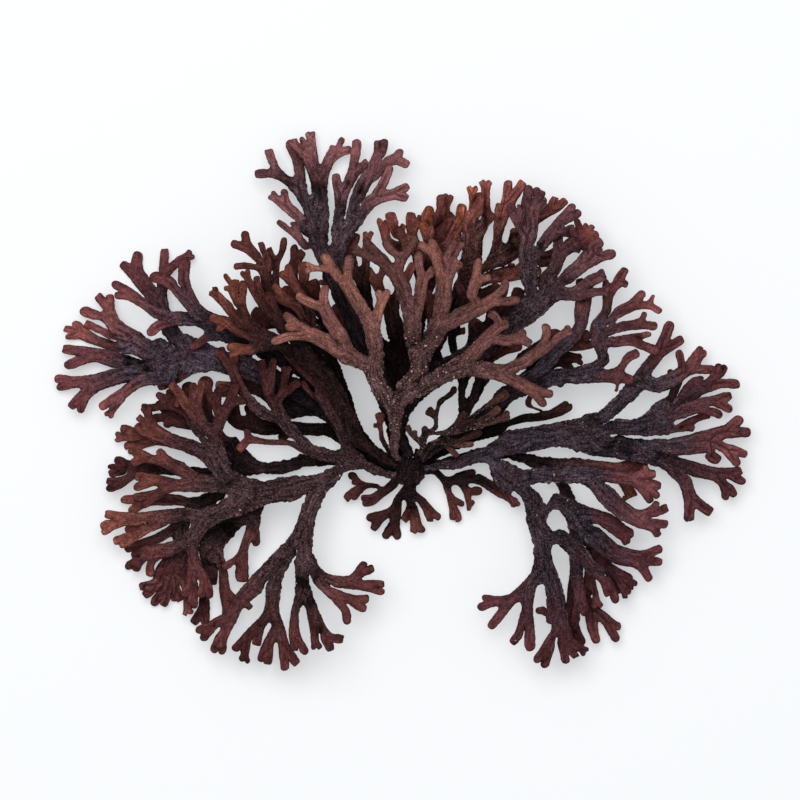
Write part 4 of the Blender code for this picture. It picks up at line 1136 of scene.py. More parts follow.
class Frond:
    """One frond as a sheet of stations along the blades, each with a corner at its left and right."""

    def __init__(self, name, layer, heights, slot, outline, seed):
        self.name = name
        self.layer = layer
        self.heights = heights
        self.slot = slot
        self.seed = seed
        self.draw = random.Random(seed)
        self.stations = []  # x, y, height, station before it, thickness, stretch number
        self.corners = []  # x, y, lift above its station, station
        self.faces = []
        self.runs = []  # for each stretch, the pairs of corners along it and the runs that fork off
        self.stretches = 0
        root = read_outline(outline)
        start = root["points"].pop(0)
        heading = (root["points"][0] - start).normalized()
        station = self.add_station(start, self.height(start), -1, ROOT_THICKNESS, 0)
        edge = self.add_pair(start, heading, STIPE_WIDTH, 0.0, station)
        self.grow(root, start, edge, station, 0.0, 0.0, 0.0)

    def height(self, point):
        distances, heights = zip(*self.heights)
        ripple = noise.noise(Vector((point.x / RIPPLE_LENGTH, point.y / RIPPLE_LENGTH, self.seed * 7.3)))
        away = min(1.0, point.length / CALM)
        return float(np.interp(point.length, distances, heights)) + 2 * RIPPLE * away * ripple

    def add_station(self, point, height, before, thickness, stretch):
        self.stations.append((point.x, point.y, height, before, thickness, stretch))
        return len(self.stations) - 1

    def add_corner(self, x, y, lift, station):
        self.corners.append((x, y, lift, station))
        return len(self.corners) - 1

    def add_pair(self, point, heading, width, roll, station):
        across = Vector((-heading.y, heading.x)) * (0.5 * width * math.cos(roll))
        lift = 0.5 * width * math.sin(roll)
        return (
            self.add_corner(point.x + across.x, point.y + across.y, lift, station),
            self.add_corner(point.x - across.x, point.y - across.y, -lift, station),
        )

    def grow(self, stretch, start, edge, before, gone, rise, roll):
        """Lays one stretch of blade from the edge where it begins, then its forks."""
        self.stretches += 1
        number = self.stretches
        run = {"pairs": [edge], "forks": []}
        self.runs.append(run)
        width = width_of(stretch)
        points = [start] + stretch["points"]
        last = points[-1] - points[-2]
        wide_enough = last.length > LOBED_LENGTH and width > LOBED_WIDTH
        if not stretch["forks"] and wide_enough and self.draw.random() < LOBED:
            self.split_tip(stretch, last, width)
            points = [start] + stretch["points"]
            last = points[-1] - points[-2]
        forks = stretch["forks"]
        if not forks:
            back = max(0.42 * last.length, last.length - SHOULDER * width)
            if last.length > SHOULDER_LENGTH and (len(points) == 2 or back > 0.6 * last.length):
                points.insert(-1, points[-2] + last * (back / last.length))
        rise_to = rise + stretch["rise"] + (self.draw.uniform(-FORK_RISE, FORK_RISE) if gone > 0 else 0.0)
        lean = math.radians(ROLL) * 2.0
        for k in range(1, len(points)):
            point = points[k]
            share = k / (len(points) - 1)
            arriving = (point - points[k - 1]).normalized()
            if k + 1 < len(points):
                leaving = (points[k + 1] - point).normalized()
            elif forks:
                leaving = Vector((0.0, 0.0))
                for fork in forks:
                    leaving += (fork["points"][0] - point).normalized() * width_of(fork)
                leaving.normalize()
            else:
                leaving = arriving
            heading = (arriving + leaving * 0.9).normalized()
            gone += (point - points[k - 1]).length
            full = min(1.0, gone / STIPE_LENGTH)
            wide = STIPE_WIDTH + (width - STIPE_WIDTH) * full if width > STIPE_WIDTH else width
            if k + 1 == len(points):
                if forks:
                    wide = max(0.95 * wide, 0.7 * sum(min(width_of(fork), width) for fork in forks) * full)
                else:
                    wide *= TAPER
            swing = noise.noise(Vector((point.x / ROLL_LENGTH, point.y / ROLL_LENGTH, self.seed * 3.1 + 50)))
            turn = lean * swing * full + roll + stretch["roll"] * share
            turn = max(-MOST_ROLL, min(MOST_ROLL, turn))
            stem = min(1.0, max(0.0, (width - TIP_WIDTH) / (WIDEST - TIP_WIDTH)))
            thickness = TIP_THICKNESS + (STEM_THICKNESS - TIP_THICKNESS) * stem
            if gone < STURDY:
                thickness = max(thickness, STIPE_THICKNESS)
            height = self.height(point) + rise + (rise_to - rise) * share
            station = self.add_station(point, height, before, thickness, number)
            left, right = self.add_pair(point, heading, wide, turn, station)
            self.faces.append((edge[0], edge[1], right, left))
            edge = (left, right)
            run["pairs"].append(edge)
            before = station
        if not forks:
            return run
        forks = sorted(forks, key=lambda fork: -self.bearing(heading, fork["points"][0] - point))
        widths = [width_of(fork) for fork in forks]
        chain = [edge[0]]
        reach = 0.0
        first, second = self.corners[edge[0]][2], self.corners[edge[1]][2]
        for i in range(len(forks) - 1):
            reach += widths[i]
            place = self.crotch(point, forks[i : i + 2], widths[i : i + 2])
            width = first + (second - first) * reach / sum(widths)
            chain.append(self.add_corner(place.x, place.y, width, before))
        chain.append(edge[1])
        self.faces.append((chain[0], chain[-1], *reversed(chain[1:-1])))
        for fork, left, right in zip(forks, chain, chain[1:]):
            a, b = self.corners[left], self.corners[right]
            middle = Vector((0.5 * (a[0] + b[0]), 0.5 * (a[1] + b[1])))
            leaning = ROLL_KEPT * stretch["roll"]
            run["forks"].append(self.grow(fork, middle, (left, right), before, gone, rise_to, leaning))
        return run

    def split_tip(self, stretch, last, width):
        """Ends a tip in two short lobes."""
        way = last.normalized()
        end = stretch["points"][-1]
        stretch["points"][-1] = end - way * LOBE_LENGTH[0]
        for side in (1, -1):
            angle = side * self.draw.uniform(*LOBE_ANGLE)
            turned = Vector((
                way.x * math.cos(angle) - way.y * math.sin(angle),
                way.x * math.sin(angle) + way.y * math.cos(angle),
            ))
            lobe = stretch["points"][-1] + turned * self.draw.uniform(*LOBE_LENGTH)
            wide = LOBE_WIDTH * width / SLIMMER
            stretch["forks"].append({"points": [lobe], "wide": wide, "rise": 0.0, "roll": 0.0, "forks": []})

    @staticmethod
    def crotch(point, forks, widths):
        """Where the facing edges of two forks meet, kept short of the ends of their first pieces."""
        left, right = (fork["points"][0] - point for fork in forks)
        most = CROTCH_MOST * min(left.length, right.length)
        left.normalize()
        right.normalize()
        turn = max(0.25, abs(left.x * right.y - left.y * right.x))
        way = (left * widths[1] + right * widths[0]) * (0.5 / turn)
        out = min(most, max(CROTCH * way.length, CROTCH_LEAST * min(widths)))
        return point + way.normalized() * out

    def thickness(self, corner):
        return self.stations[self.corners[corner][3]][4]

    @staticmethod
    def bearing(heading, way):
        return math.atan2(heading.x * way.y - heading.y * way.x, heading.dot(way))

    def triangles(self):
        """Every face split from its first corner, alike on both sides of the blade."""
        return [(face[0], face[i], face[i + 1]) for face in self.faces for i in range(1, len(face) - 1)]

    def ways(self):
        """How far apart any two stations are along the frond."""
        count = len(self.stations)
        table = np.zeros((count, count))
        for i in range(1, count):
            x, y, _, before, _, _ = self.stations[i]
            step = math.hypot(x - self.stations[before][0], y - self.stations[before][1])
            table[i, :i] = table[before, :i] + step
            table[:i, i] = table[i, :i]
        return table


def probe_points(fronds):
    """Points spread over every blade, each as a mix of three corners."""
    probes = []
    for number, frond in enumerate(fronds):
        for triangle in frond.triangles():
            a, b, c = (Vector(frond.corners[i][:2]) for i in triangle)
            longest = max((a - b).length, (b - c).length, (c - a).length)
            parts = max(1, math.ceil(longest / GRAIN))
            for i in range(parts + 1):
                for j in range(parts + 1 - i):
                    share = (i / parts, j / parts, (parts - i - j) / parts)
                    probes.append((number, triangle, share))
    return probes


def keep_apart(fronds):
    """Lifts and lowers the stations until blades that cross leave air between them. Returns heights."""
    first = np.cumsum([0] + [len(frond.stations) for frond in fronds])
    start = np.concatenate([[s[2] for s in frond.stations] for frond in fronds])
    thick = np.concatenate([[s[4] for s in frond.stations] for frond in fronds])
    before = np.concatenate([
        [s[3] + first[n] if s[3] >= 0 else i + first[n] for i, s in enumerate(frond.stations)]
        for n, frond in enumerate(fronds)
    ]).astype(int)
    floor = thick * 0.5
    places = np.concatenate([[s[:2] for s in frond.stations] for frond in fronds])
    for n, frond in enumerate(fronds):
        for _, _, lift, station in frond.corners:
            k = first[n] + station
            floor[k] = max(floor[k], 0.5 * thick[k] - lift)
    probes = probe_points(fronds)
    count = len(probes)
    of_frond = np.array([p[0] for p in probes])
    at = np.zeros((count, 3), int)
    mix = np.zeros((count, 3))
    lifts = np.zeros(count)
    tree = KDTree(count)
    for i, (number, triangle, share) in enumerate(probes):
        corners = [fronds[number].corners[k] for k in triangle]
        at[i] = [first[number] + c[3] for c in corners]
        mix[i] = share
        lifts[i] = sum(c[2] * s for c, s in zip(corners, share))
        x, y = (sum(c[axis] * s for c, s in zip(corners, share)) for axis in range(2))
        tree.insert((x, y, 0.0), i)
    tree.balance()
    ways = [frond.ways() for frond in fronds]
    stretch_of = np.concatenate([[s[5] for s in frond.stations] for frond in fronds])
    mean = {}
    for n, frond in enumerate(fronds):
        for number in range(frond.stretches + 1):
            mine = [s[2] for s in frond.stations if s[5] == number]
            mean[n, number] = sum(mine) / len(mine) if mine else 0.0
    main = at[np.arange(count), mix.argmax(axis=1)]
    inside = np.hypot(places[:, 0], places[:, 1]) < HOLDFAST_RADIUS
    floor[inside] = np.maximum(floor[inside], HOLDFAST_HEIGHT + OVER_HOLDFAST)
    upper, lower, apart = [], [], []
    for i in range(count):
        n = of_frond[i]
        place = Vector((*[sum(fronds[n].corners[k][axis] * s for k, s in zip(probes[i][1], probes[i][2]))
                          for axis in range(2)], 0.0))
        for _, j, distance in tree.find_range(place, REACH):
            if j <= i:
                continue
            m = of_frond[j]
            if n != m:
                over = fronds[n].layer + 0.01 * n > fronds[m].layer + 0.01 * m
            else:
                a, b = main[i] - first[n], main[j] - first[n]
                if distance > OWN_REACH or ways[n][a, b] < ALONG:
                    continue
                p, q = int(stretch_of[main[i]]), int(stretch_of[main[j]])
                if p == q:
                    continue
                over = (mean[n, p], p) > (mean[n, q], q)
            upper.append(i if over else j)
            lower.append(j if over else i)
            apart.append(distance)
    upper, lower = np.array(upper), np.array(lower)
    thickness = (thick[at] * mix).sum(axis=1)
    fade = np.clip((REACH - np.array(apart)) / (REACH - NEAR), LEAST_SHARE, 1.0)
    want = (0.5 * (thickness[upper] + thickness[lower]) + GAP) * fade
    steps = np.maximum(0.4, np.hypot(*(places - places[before]).T))
    heights = np.maximum(start, floor)
    neighbours = np.zeros(len(start))
    np.add.at(neighbours, before, 1.0)
    neighbours += 1.0
    for turn in range(ROUNDS):
        now = (heights[at] * mix).sum(axis=1) + lifts
        short = want - (now[upper] - now[lower])
        hit = short > 0
        push = 0.5 * short[hit]
        move = np.zeros(len(start))
        load = np.full(len(start), 1e-9)
        for k in range(3):
            for side, sign in ((upper[hit], 1.0), (lower[hit], -1.0)):
                weight = mix[side, k] ** 2
                np.add.at(move, at[side, k], sign * weight * push)
                np.add.at(load, at[side, k], weight)
        heights = heights + PUSH * move / load
        smooth = SMOOTHING * max(0.0, 1.0 - turn / (0.75 * ROUNDS))
        if smooth:
            shift = heights - start
            mean_shift = shift[before].copy()
            np.add.at(mean_shift, before, shift)
            heights = start + SETTLE * ((1 - smooth) * shift + smooth * mean_shift / neighbours)
        climb = heights - heights[before]
        excess = EASING * np.sign(climb) * np.maximum(0.0, np.abs(climb) - STEEPEST * steps)
        eased = heights - excess
        np.add.at(eased, before, excess)
        heights = np.maximum(np.minimum(eased, start + MOST_LIFT), floor)
    return [heights[first[n]:first[n + 1]] for n in range(len(fronds))]


def length(vector):
    return float(np.linalg.norm(vector))


class Sheet:
    """A frond's blades as one open sheet, three points across, on smooth curves through its corners."""

    def __init__(self, frond, heights):
        self.frond = frond
        self.draw = random.Random(1000 + frond.seed)
        self.places = [np.array((x, y, heights[s] + lift)) for x, y, lift, s in frond.corners]
        self.points = []
        # The fifth mark, the light left, is painted shade: darker inside the bunch and where blades above
        # hide the sky.
        self.marks = []  # edge, distance to the tip, half thickness, tone, light left, side x, y, z
        self.quads = []
        self.across = []  # for each corner of each quad: distance along, distance across
        root = frond.runs[0]
        self.measure(root)
        first = self.places[root["pairs"][0][0]], self.places[root["pairs"][0][1]]
        left = self.add_point(first[0], 1.0, root, 0.0, first[0] - first[1])
        right = self.add_point(first[1], 1.0, root, 0.0, first[1] - first[0])
        middle = self.add_point(0.5 * (first[0] + first[1]), 0.0, root, 0.0, None)
        self.along = 0.0
        self.lay(root, (left, middle, right), 0.0, (None, None, None), 0.5)

    def measure(self, run):
        """How far the furthest tip is from a run's start, and how long the run is."""
        middles = [self.middle(pair) for pair in run["pairs"]]
        run["length"] = sum(length(b - a) for a, b in zip(middles, middles[1:]))
        beyond = [self.measure(fork) for fork in run["forks"]]
        run["beyond"] = 0.5 * (max(beyond) + sum(beyond) / len(beyond)) if beyond else 0.0
        return run["length"] + run["beyond"]

    def middle(self, pair):
        return 0.5 * (self.places[pair[0]] + self.places[pair[1]])

    def add_point(self, place, edge, run, gone, out):
        side = np.zeros(3)
        if out is not None:
            side = out / max(1e-6, length(out))
        tip = max(0.0, run["length"] - gone) + run["beyond"]
        # Painted shade: each frond is painted lighter or darker by how far the place is from its tips.
        first, last, near, far = PAINTED_SHADING.get(self.frond.name, (30.0, 60.0, 1.0, 0.8))
        painted_shading = float(np.interp(tip, (first, last), (near, far)))
        self.points.append(place)
        self.marks.append([edge, tip, run.get("half", 0.5), run.get("tone", 0.5), painted_shading, *side])
        return len(self.points) - 1

    def add_quad(self, corners, across):
        self.quads.append(corners)
        self.across.append(across)

    @staticmethod
    def curve(a, leave, b, arrive, share):
        """A point on the smooth curve from a to b that leaves and arrives along the given ways."""
        s, s2, s3 = share, share**2, share**3
        ends = (2 * s3 - 3 * s2 + 1) * a + (3 * s2 - 2 * s3) * b
        return ends + (s3 - 2 * s2 + s) * leave + (s3 - s2) * arrive

    @staticmethod
    def slopes(rail, before, after):
        """The way that a smooth curve takes at each place of a rail, a unit long or a little less."""
        line = [before if before is not None else 2 * rail[0] - rail[1], *rail]
        line.append(after if after is not None else 2 * rail[-1] - rail[-2])
        lengths = [max(1e-6, length(b - a)) for a, b in zip(line, line[1:])]
        return [(line[k + 2] - line[k]) / (lengths[k] + lengths[k + 1]) for k in range(len(rail))]

    def rails_of(self, run, first_middle, camber):
        """A run's left, middle and right rails, the middle one raised by the camber."""
        lefts = [self.places[left] for left, _ in run["pairs"]]
        rights = [self.places[right] for _, right in run["pairs"]]
        if not run["forks"]:
            middle = self.middle(run["pairs"][-1])
            lefts[-1] = middle + (lefts[-1] - middle) / TAPER
            rights[-1] = middle + (rights[-1] - middle) / TAPER
        middles = [first_middle]
        for a, b in zip(lefts[1:], rights[1:]):
            lift = camber * min(1.0, length(a - b) / FULL_CAMBER)
            middles.append(0.5 * (a + b) + np.array((0.0, 0.0, lift)))
        return lefts, middles, rights

    def ways_along(self, run, rails, gone, earlier):
        """The ways that the rails take at their places. Edges that meet in a crotch leave it squarely."""
        forks = run["forks"]
        after = [None, None, None]
        if forks:
            after[0] = self.places[forks[0]["pairs"][1][0]]
            after[1] = np.mean([self.middle(fork["pairs"][1]) for fork in forks], axis=0)
            after[2] = self.places[forks[-1]["pairs"][1][1]]
        ways = [self.slopes(rails[side], earlier[side], after[side]) for side in range(3)]
        onward = self.middle(run["pairs"][1]) - self.middle(run["pairs"][0])
        onward /= max(1e-6, length(onward))
        outward = np.array((-onward[1], onward[0], 0.0))
        for side, sign in ((0, -1.0), (2, 1.0)):
            if earlier[side] is None and gone > 0:
                ways[side][0] = AXIL_ON * onward + sign * AXIL_OUT * outward
        return ways

    def end_tip(self, places, way, radius):
        """Draws the corners of a tip's last row in and dents or bulges its end."""
        narrow = self.draw.uniform(*TIP_NARROW)
        centre = 0.5 * (places[0] + places[2])
        places[0] = centre + (places[0] - centre) * narrow
        places[2] = centre + (places[2] - centre) * narrow
        push = self.draw.uniform(*(NOTCH if self.draw.random() < NOTCHED else BULGE))
        places[1] = places[1] + way * (push * radius)

    def add_row(self, run, row, places, end, done, reached):
        """Adds a row of three points and joins it to the row before it."""
        out = places[0] - places[2]
        left = self.add_point(places[0], 1.0, run, done, out)
        middle = self.add_point(places[1], 1.0 if end else 0.0, run, done, None)
        right = self.add_point(places[2], 1.0, run, done, -out)
        old, new = 0.5 * length(self.points[row[0]] - self.points[row[2]]), 0.5 * length(out)
        a, b = self.along, reached
        self.add_quad((row[0], row[1], middle, left), ((a, old), (a, 0.0), (b, 0.0), (b, new)))
        self.add_quad((row[1], row[2], right, middle), ((a, 0.0), (a, -old), (b, -new), (b, 0.0)))
        self.along = reached
        return left, middle, right

    def lay(self, run, row, gone, earlier, tone):
        """Lays one run of blade from its first row of points, then its forks.
        earlier holds the places before the first row, at its left, middle and right, or None at a crotch."""
        run["tone"] = min(1.0, max(0.0, tone + self.draw.uniform(-TONE_STEP, TONE_STEP)))
        camber = self.draw.uniform(-CAMBER, CAMBER)
        pairs, forks = run["pairs"], run["forks"]
        rails = lefts, middles, rights = self.rails_of(run, self.points[row[1]], camber)
        ways = self.ways_along(run, rails, gone, earlier)
        within = 0.0
        for k in range(1, len(pairs)):
            thick = [self.frond.thickness(left) for left, _ in pairs[k - 1:k + 1]]
            span = length(middles[k] - middles[k - 1])
            last = not forks and k + 1 == len(pairs)
            radius = 0.5 * length(lefts[-1] - rights[-1])
            level = max(0.0, span - radius) if last else span
            steps = max(1, round(level / STEP)) if level > SHORTEST * STEP or not last else 0
            shares = [level / span * n / steps for n in range(1, steps + 1)]
            for share in shares + ([1.0] if last else []):
                reach = [share, share, share]
                end = last and share == 1.0
                if end:
                    reach[0] -= self.draw.uniform(*TIP_CORNER) * radius / span
                    reach[2] -= self.draw.uniform(*TIP_CORNER) * radius / span
                places = []
                for side in range(3):
                    a, b = rails[side][k - 1], rails[side][k]
                    far = length(b - a)
                    pull = min(far, AXIL_LENGTH) if k == 1 and earlier[side] is None else far
                    leave, arrive = ways[side][k - 1] * pull, ways[side][k] * far
                    places.append(self.curve(a, leave, b, arrive, reach[side]))
                if end:
                    self.end_tip(places, ways[1][k], radius)
                run["half"] = 0.5 * (thick[0] + (thick[1] - thick[0]) * share)
                done = within + span * share
                row = self.add_row(run, row, places, end, done, gone + done)
            within += span
        if forks:
            self.lay_forks(run, row, gone + within, within, middles[-1], (lefts[-2], rights[-2]))

    def lay_forks(self, run, row, here, within, middle_before, edges_before):
        """Lays the forks of a run side by side from its last row."""
        forks = run["forks"]
        chain = [row[0]]
        for fork in forks[:-1]:
            corner = self.places[fork["pairs"][0][1]]
            chain.append(self.add_point(corner, 1.0, run, within, corner - middle_before))
        chain.append(row[2])
        for fork, left, right in zip(forks, chain, chain[1:]):
            place = 0.5 * (self.points[left] + self.points[right])
            middle = self.add_point(place, 0.0, run, within, None)
            half = 0.5 * length(self.points[left] - self.points[right])
            across = ((here, half), (here, 0.0), (here, -half), (here, 0.0))
            self.add_quad((left, row[1], right, middle), across)
            at_left = edges_before[0] if fork is forks[0] else None
            at_right = edges_before[1] if fork is forks[-1] else None
            self.along = here
            self.lay(fork, (left, middle, right), here, (at_left, middle_before, at_right), run["tone"])

    def mesh(self):
        # Painted shade: the light left is darkened where the blades above hide the sky.
        for place, mark in zip(self.points, self.marks):
            mark[4] *= 1.0 - SHADE * hidden_sky(place)
        mesh = bpy.data.meshes.new(self.frond.name)
        mesh.from_pydata([Vector(p) * MM for p in self.points], [], self.quads)
        marks = np.array(self.marks, np.float32)
        for column, name in enumerate(("edge", "tip", "half", "tone", "painted_shading")):
            layer = mesh.attributes.new(name, "FLOAT", "POINT")
            layer.data.foreach_set("value", np.ascontiguousarray(marks[:, column]))
        side = mesh.attributes.new("side", "FLOAT_VECTOR", "POINT")
        side.data.foreach_set("vector", np.ascontiguousarray(marks[:, 5:8]).ravel())
        flat = mesh.uv_layers.new(name="UVMap")
        flat.data.foreach_set("uv", np.array(self.across, np.float32).ravel() / 100.0)
        mesh.update()
        return mesh


class Nodes:
    """Short ways to add and join the nodes of a tree."""

    def __init__(self, tree):
        self.tree = tree

    def add(self, kind, sockets=None, **settings):
        node = self.tree.nodes.new(kind)
        for name, value in settings.items():
            setattr(node, name, value)
        for name, value in (sockets or {}).items():
            self.join(value, node.inputs[name])
        return node

    def join(self, value, socket):
        if isinstance(value, bpy.types.NodeSocket):
            self.tree.links.new(value, socket)
        else:
            socket.default_value = value

    def math(self, operation, *values):
        return self.add("ShaderNodeMath", dict(enumerate(values)), operation=operation).outputs[0]

    def times(self, first, *others):
        for other in others:
            first = self.math("MULTIPLY", first, other)
        return first

    def plus(self, first, *others):
        for other in others:
            first = self.math("ADD", first, other)
        return first

    def line(self, value, slope, start):
        return self.math("MULTIPLY_ADD", value, slope, start)

    def millimetres(self, vector):
        return self.scaled(vector, 1.0 / MM)

    def scaled(self, vector, factor):
        return self.add("ShaderNodeVectorMath", {0: vector, "Scale": factor}, operation="SCALE").outputs[0]

    def vector(self, operation, first, second):
        return self.add("ShaderNodeVectorMath", {0: first, 1: second}, operation=operation).outputs[0]

    def noise(self, vector, scale, detail=2.0, roughness=0.5):
        sockets = {"Vector": vector, "Scale": scale, "Detail": detail, "Roughness": roughness}
        return self.add("ShaderNodeTexNoise", sockets).outputs[0]

    def swing(self, vector, scale, detail=2.0, roughness=0.5):
        """Noise that goes from about -1 to 1."""
        return self.line(self.noise(vector, scale, detail, roughness), 3.6, -1.8)

    def shaded(self, light, swing, amount):
        """The light times one plus a share of the swing."""
        return self.times(light, self.math("MAXIMUM", self.line(swing, amount, 1.0), 0.12))

    def ramp(self, value, low, high, to_low=0.0, to_high=1.0):
        sockets = {"Value": value, "From Min": low, "From Max": high, "To Min": to_low, "To Max": to_high}
        return self.add("ShaderNodeMapRange", sockets, interpolation_type="SMOOTHSTEP").outputs[0]

    def mix(self, factor, first, second, blend="MIX"):
        node = self.add("ShaderNodeMix", {0: factor, 6: first, 7: second}, data_type="RGBA", blend_type=blend)
        return node.outputs[2]


class GeometryTree(Nodes):
    """A geometry node tree with named inputs."""

    def __init__(self, name):
        super().__init__(bpy.data.node_groups.new(name, "GeometryNodeTree"))
        for way in ("INPUT", "OUTPUT"):
            self.tree.interface.new_socket("Geometry", in_out=way, socket_type="NodeSocketGeometry")
        self.inlet = self.tree.nodes.new("NodeGroupInput")
        self.outlet = self.tree.nodes.new("NodeGroupOutput")

    def given(self, name, kind, default=None):
        socket = self.tree.interface.new_socket(name, in_out="INPUT", socket_type="NodeSocket" + kind)
        if default is not None:
            socket.default_value = default
        return self.inlet.outputs[name]

    def geometry(self):
        return self.inlet.outputs["Geometry"]

    def attribute(self, name, kind="FLOAT"):
        node = self.add("GeometryNodeInputNamedAttribute", {"Name": name}, data_type=kind)
        return node.outputs["Attribute"]

    def finish(self, geometry, material):
        """Ends the tree: instances made real, then the material."""
        real = self.add("GeometryNodeRealizeInstances", {"Geometry": geometry})
        done = self.add("GeometryNodeSetMaterial", {"Geometry": real.outputs[0], "Material": material})
        self.join(done.outputs[0], self.outlet.inputs["Geometry"])
        return self.tree


def blade_tree():
    """Rounds a frond's sheet, wrinkles it, makes its edges uneven and gives it its thickness."""
    t = GeometryTree("moss blades")
    level = t.given("Level", "Int", LEVEL)
    thickness = t.given("Thickness", "Float", 1.0)
    wrinkle = t.given("Wrinkle height", "Float", 0.1)
    lump = t.given("Lump height", "Float", 0.1)
    curl = t.given("Edge curl", "Float", 0.4)
    uneven = t.given("Edge unevenness", "Float", 0.2)
    material = t.given("Material", "Material")
    smooth = t.add("GeometryNodeSubdivisionSurface", {"Mesh": t.geometry(), "Level": level}).outputs[0]
    place = t.millimetres(t.add("GeometryNodeInputPosition").outputs[0])
    normal = t.add("GeometryNodeInputNormal").outputs[0]
    edge = t.attribute("edge")
    tip = t.attribute("tip")
    flat = t.scaled(t.attribute("UVMap", "FLOAT_VECTOR"), 100.0)
    stem = t.ramp(tip, 3.0, 26.0, 0.25, 1.0)
    lines = t.swing(t.vector("MULTIPLY", flat, (0.16, 1.25, 1.0)), 1.0, 3.0)
    lumps = t.times(t.swing(place, 0.5, 2.0), lump)
    bend = t.times(edge, edge, t.swing(place, 0.15, 1.0), curl)
    up = t.plus(t.times(lines, stem, wrinkle), lumps, bend)
    nicks = t.times(t.swing(place, 1.25, 1.0), 0.75)
    ragged = t.times(uneven, t.ramp(tip, 8.0, 26.0, 0.8, 1.9))
    thin = t.ramp(t.attribute("half"), 0.3, 0.45, 0.6, 1.0)
    out = t.times(t.plus(t.swing(place, 0.38, 1.0), nicks), ragged, thin)
    move = t.vector("ADD", t.scaled(normal, up), t.scaled(t.attribute("side", "FLOAT_VECTOR"), out))
    moved = t.add("GeometryNodeSetPosition", {"Geometry": smooth, "Offset": t.scaled(move, MM)}).outputs[0]
    round_off = t.math("SQRT", t.line(t.math("POWER", edge, 7.0), -0.8, 1.0))
    half = t.times(t.attribute("half"), thickness, round_off)
    lift = t.scaled(normal, t.times(half, MM))
    marked = t.add(
        "GeometryNodeStoreNamedAttribute", {"Geometry": moved, "Name": "lift", "Value": lift},
        data_type="FLOAT_VECTOR", domain="POINT",
    ).outputs[0]
    up = t.attribute("lift", "FLOAT_VECTOR")
    down = t.scaled(up, -1.0)
    raised = t.add("GeometryNodeExtrudeMesh", {"Mesh": marked, "Offset Scale": 0.0, "Individual": False})
    low = t.math("SUBTRACT", 1.0, raised.outputs["Top"])
    apart = t.add("ShaderNodeMix", {0: low, 4: up, 5: down}, data_type="VECTOR").outputs[1]
    upper = t.add("GeometryNodeSetPosition", {"Geometry": raised.outputs["Mesh"], "Offset": apart}).outputs[0]
    lower = t.add("GeometryNodeSetPosition", {"Geometry": marked, "Offset": down}).outputs[0]
    lower = t.add("GeometryNodeFlipFaces", {"Mesh": lower}).outputs[0]
    both = t.add("GeometryNodeJoinGeometry")
    t.join(lower, both.inputs[0])
    t.join(upper, both.inputs[0])
    joined = both.outputs[0]
    closed = t.add("GeometryNodeMergeByDistance", {"Geometry": joined, "Distance": CLOSE * MM}).outputs[0]
    for name in ("lift", "side", "half"):
        closed = t.add("GeometryNodeRemoveAttribute", {"Geometry": closed, "Name": name}).outputs[0]
    soft = t.add("GeometryNodeSetShadeSmooth", {"Geometry": closed}).outputs[0]
    above_floor = t.vector("MAXIMUM", t.add("GeometryNodeInputPosition").outputs[0], (-1.0, -1.0, 0.0))
    resting = t.add("GeometryNodeSetPosition", {"Geometry": soft, "Position": above_floor}).outputs[0]
    return t.finish(resting, material)


def grain_tree():
    """Strews salt grains over a finished frond, thick on its stems and few near the tips."""
    t = GeometryTree("salt grains")
    density = t.given("Grains for each square millimetre", "Float", 0.1)
    smallest = t.given("Smallest", "Float", 0.07)
    largest = t.given("Largest", "Float", 0.3)
    seed = t.given("Seed", "Int", 1)
    material = t.given("Material", "Material")
    place = t.millimetres(t.add("GeometryNodeInputPosition").outputs[0])
    normal = t.add("ShaderNodeSeparateXYZ", {0: t.add("GeometryNodeInputNormal").outputs[0]}).outputs[2]
    above = t.math("GREATER_THAN", normal, 0.25)
    stem = t.ramp(t.attribute("tip"), 6.0, 42.0, 0.03, 1.0)
    patches = t.ramp(t.noise(place, 0.4, 2.0), 0.42, 0.68, 0.08, 2.4)
    wanted = t.times(t.times(stem, patches), t.times(density, MM**-2))
    points = t.add(
        "GeometryNodeDistributePointsOnFaces",
        {"Mesh": t.geometry(), "Selection": above, "Density": wanted, "Seed": seed},
        distribute_method="RANDOM",
    )
    grain = t.add("GeometryNodeMeshIcoSphere", {"Radius": MM, "Subdivisions": 1}).outputs[0]
    angles = {0: (0.0, 0.0, 0.0), 1: (6.28, 6.28, 6.28)}
    turn = t.add("FunctionNodeRandomValue", angles, data_type="FLOAT_VECTOR")
    chance = t.math("POWER", t.add("FunctionNodeRandomValue", data_type="FLOAT").outputs[1], 2.5)
    size = t.line(chance, t.math("SUBTRACT", largest, smallest), smallest)
    squash = t.add("ShaderNodeCombineXYZ", {0: size, 1: size, 2: size})
    grains = t.add("GeometryNodeInstanceOnPoints", {
        "Points": points.outputs["Points"], "Instance": grain,
        "Rotation": turn.outputs[0], "Scale": squash.outputs[0],
    }).outputs[0]
    return t.finish(grains, material)


def linked(name, data):
    """A new object with this data, in the scene."""
    obj = bpy.data.objects.new(name, data)
    bpy.context.scene.collection.objects.link(obj)
    return obj


def put_in_place_of(piece, node):
    """The piece is shown for the plain solid and rides on the bunch."""
    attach(piece, "root")
    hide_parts(node)


def made_plain(mesh, name, tree, values):
    """The mesh that a tree of geometry nodes makes of another, as a plain object at the origin."""
    source = linked(name + "_source", mesh)
    modifier = source.modifiers.new("nodes", "NODES")
    modifier.node_group = tree
    for item in tree.interface.items_tree:
        if item.in_out == "INPUT" and item.name in values:
            modifier[item.identifier] = values[item.name]
    graph = bpy.context.evaluated_depsgraph_get()
    evaluated = source.evaluated_get(graph)
    plain = bpy.data.meshes.new_from_object(evaluated, preserve_all_data_layers=True, depsgraph=graph)
    bpy.data.objects.remove(source)
    plain.name = name
    return linked(name, plain)


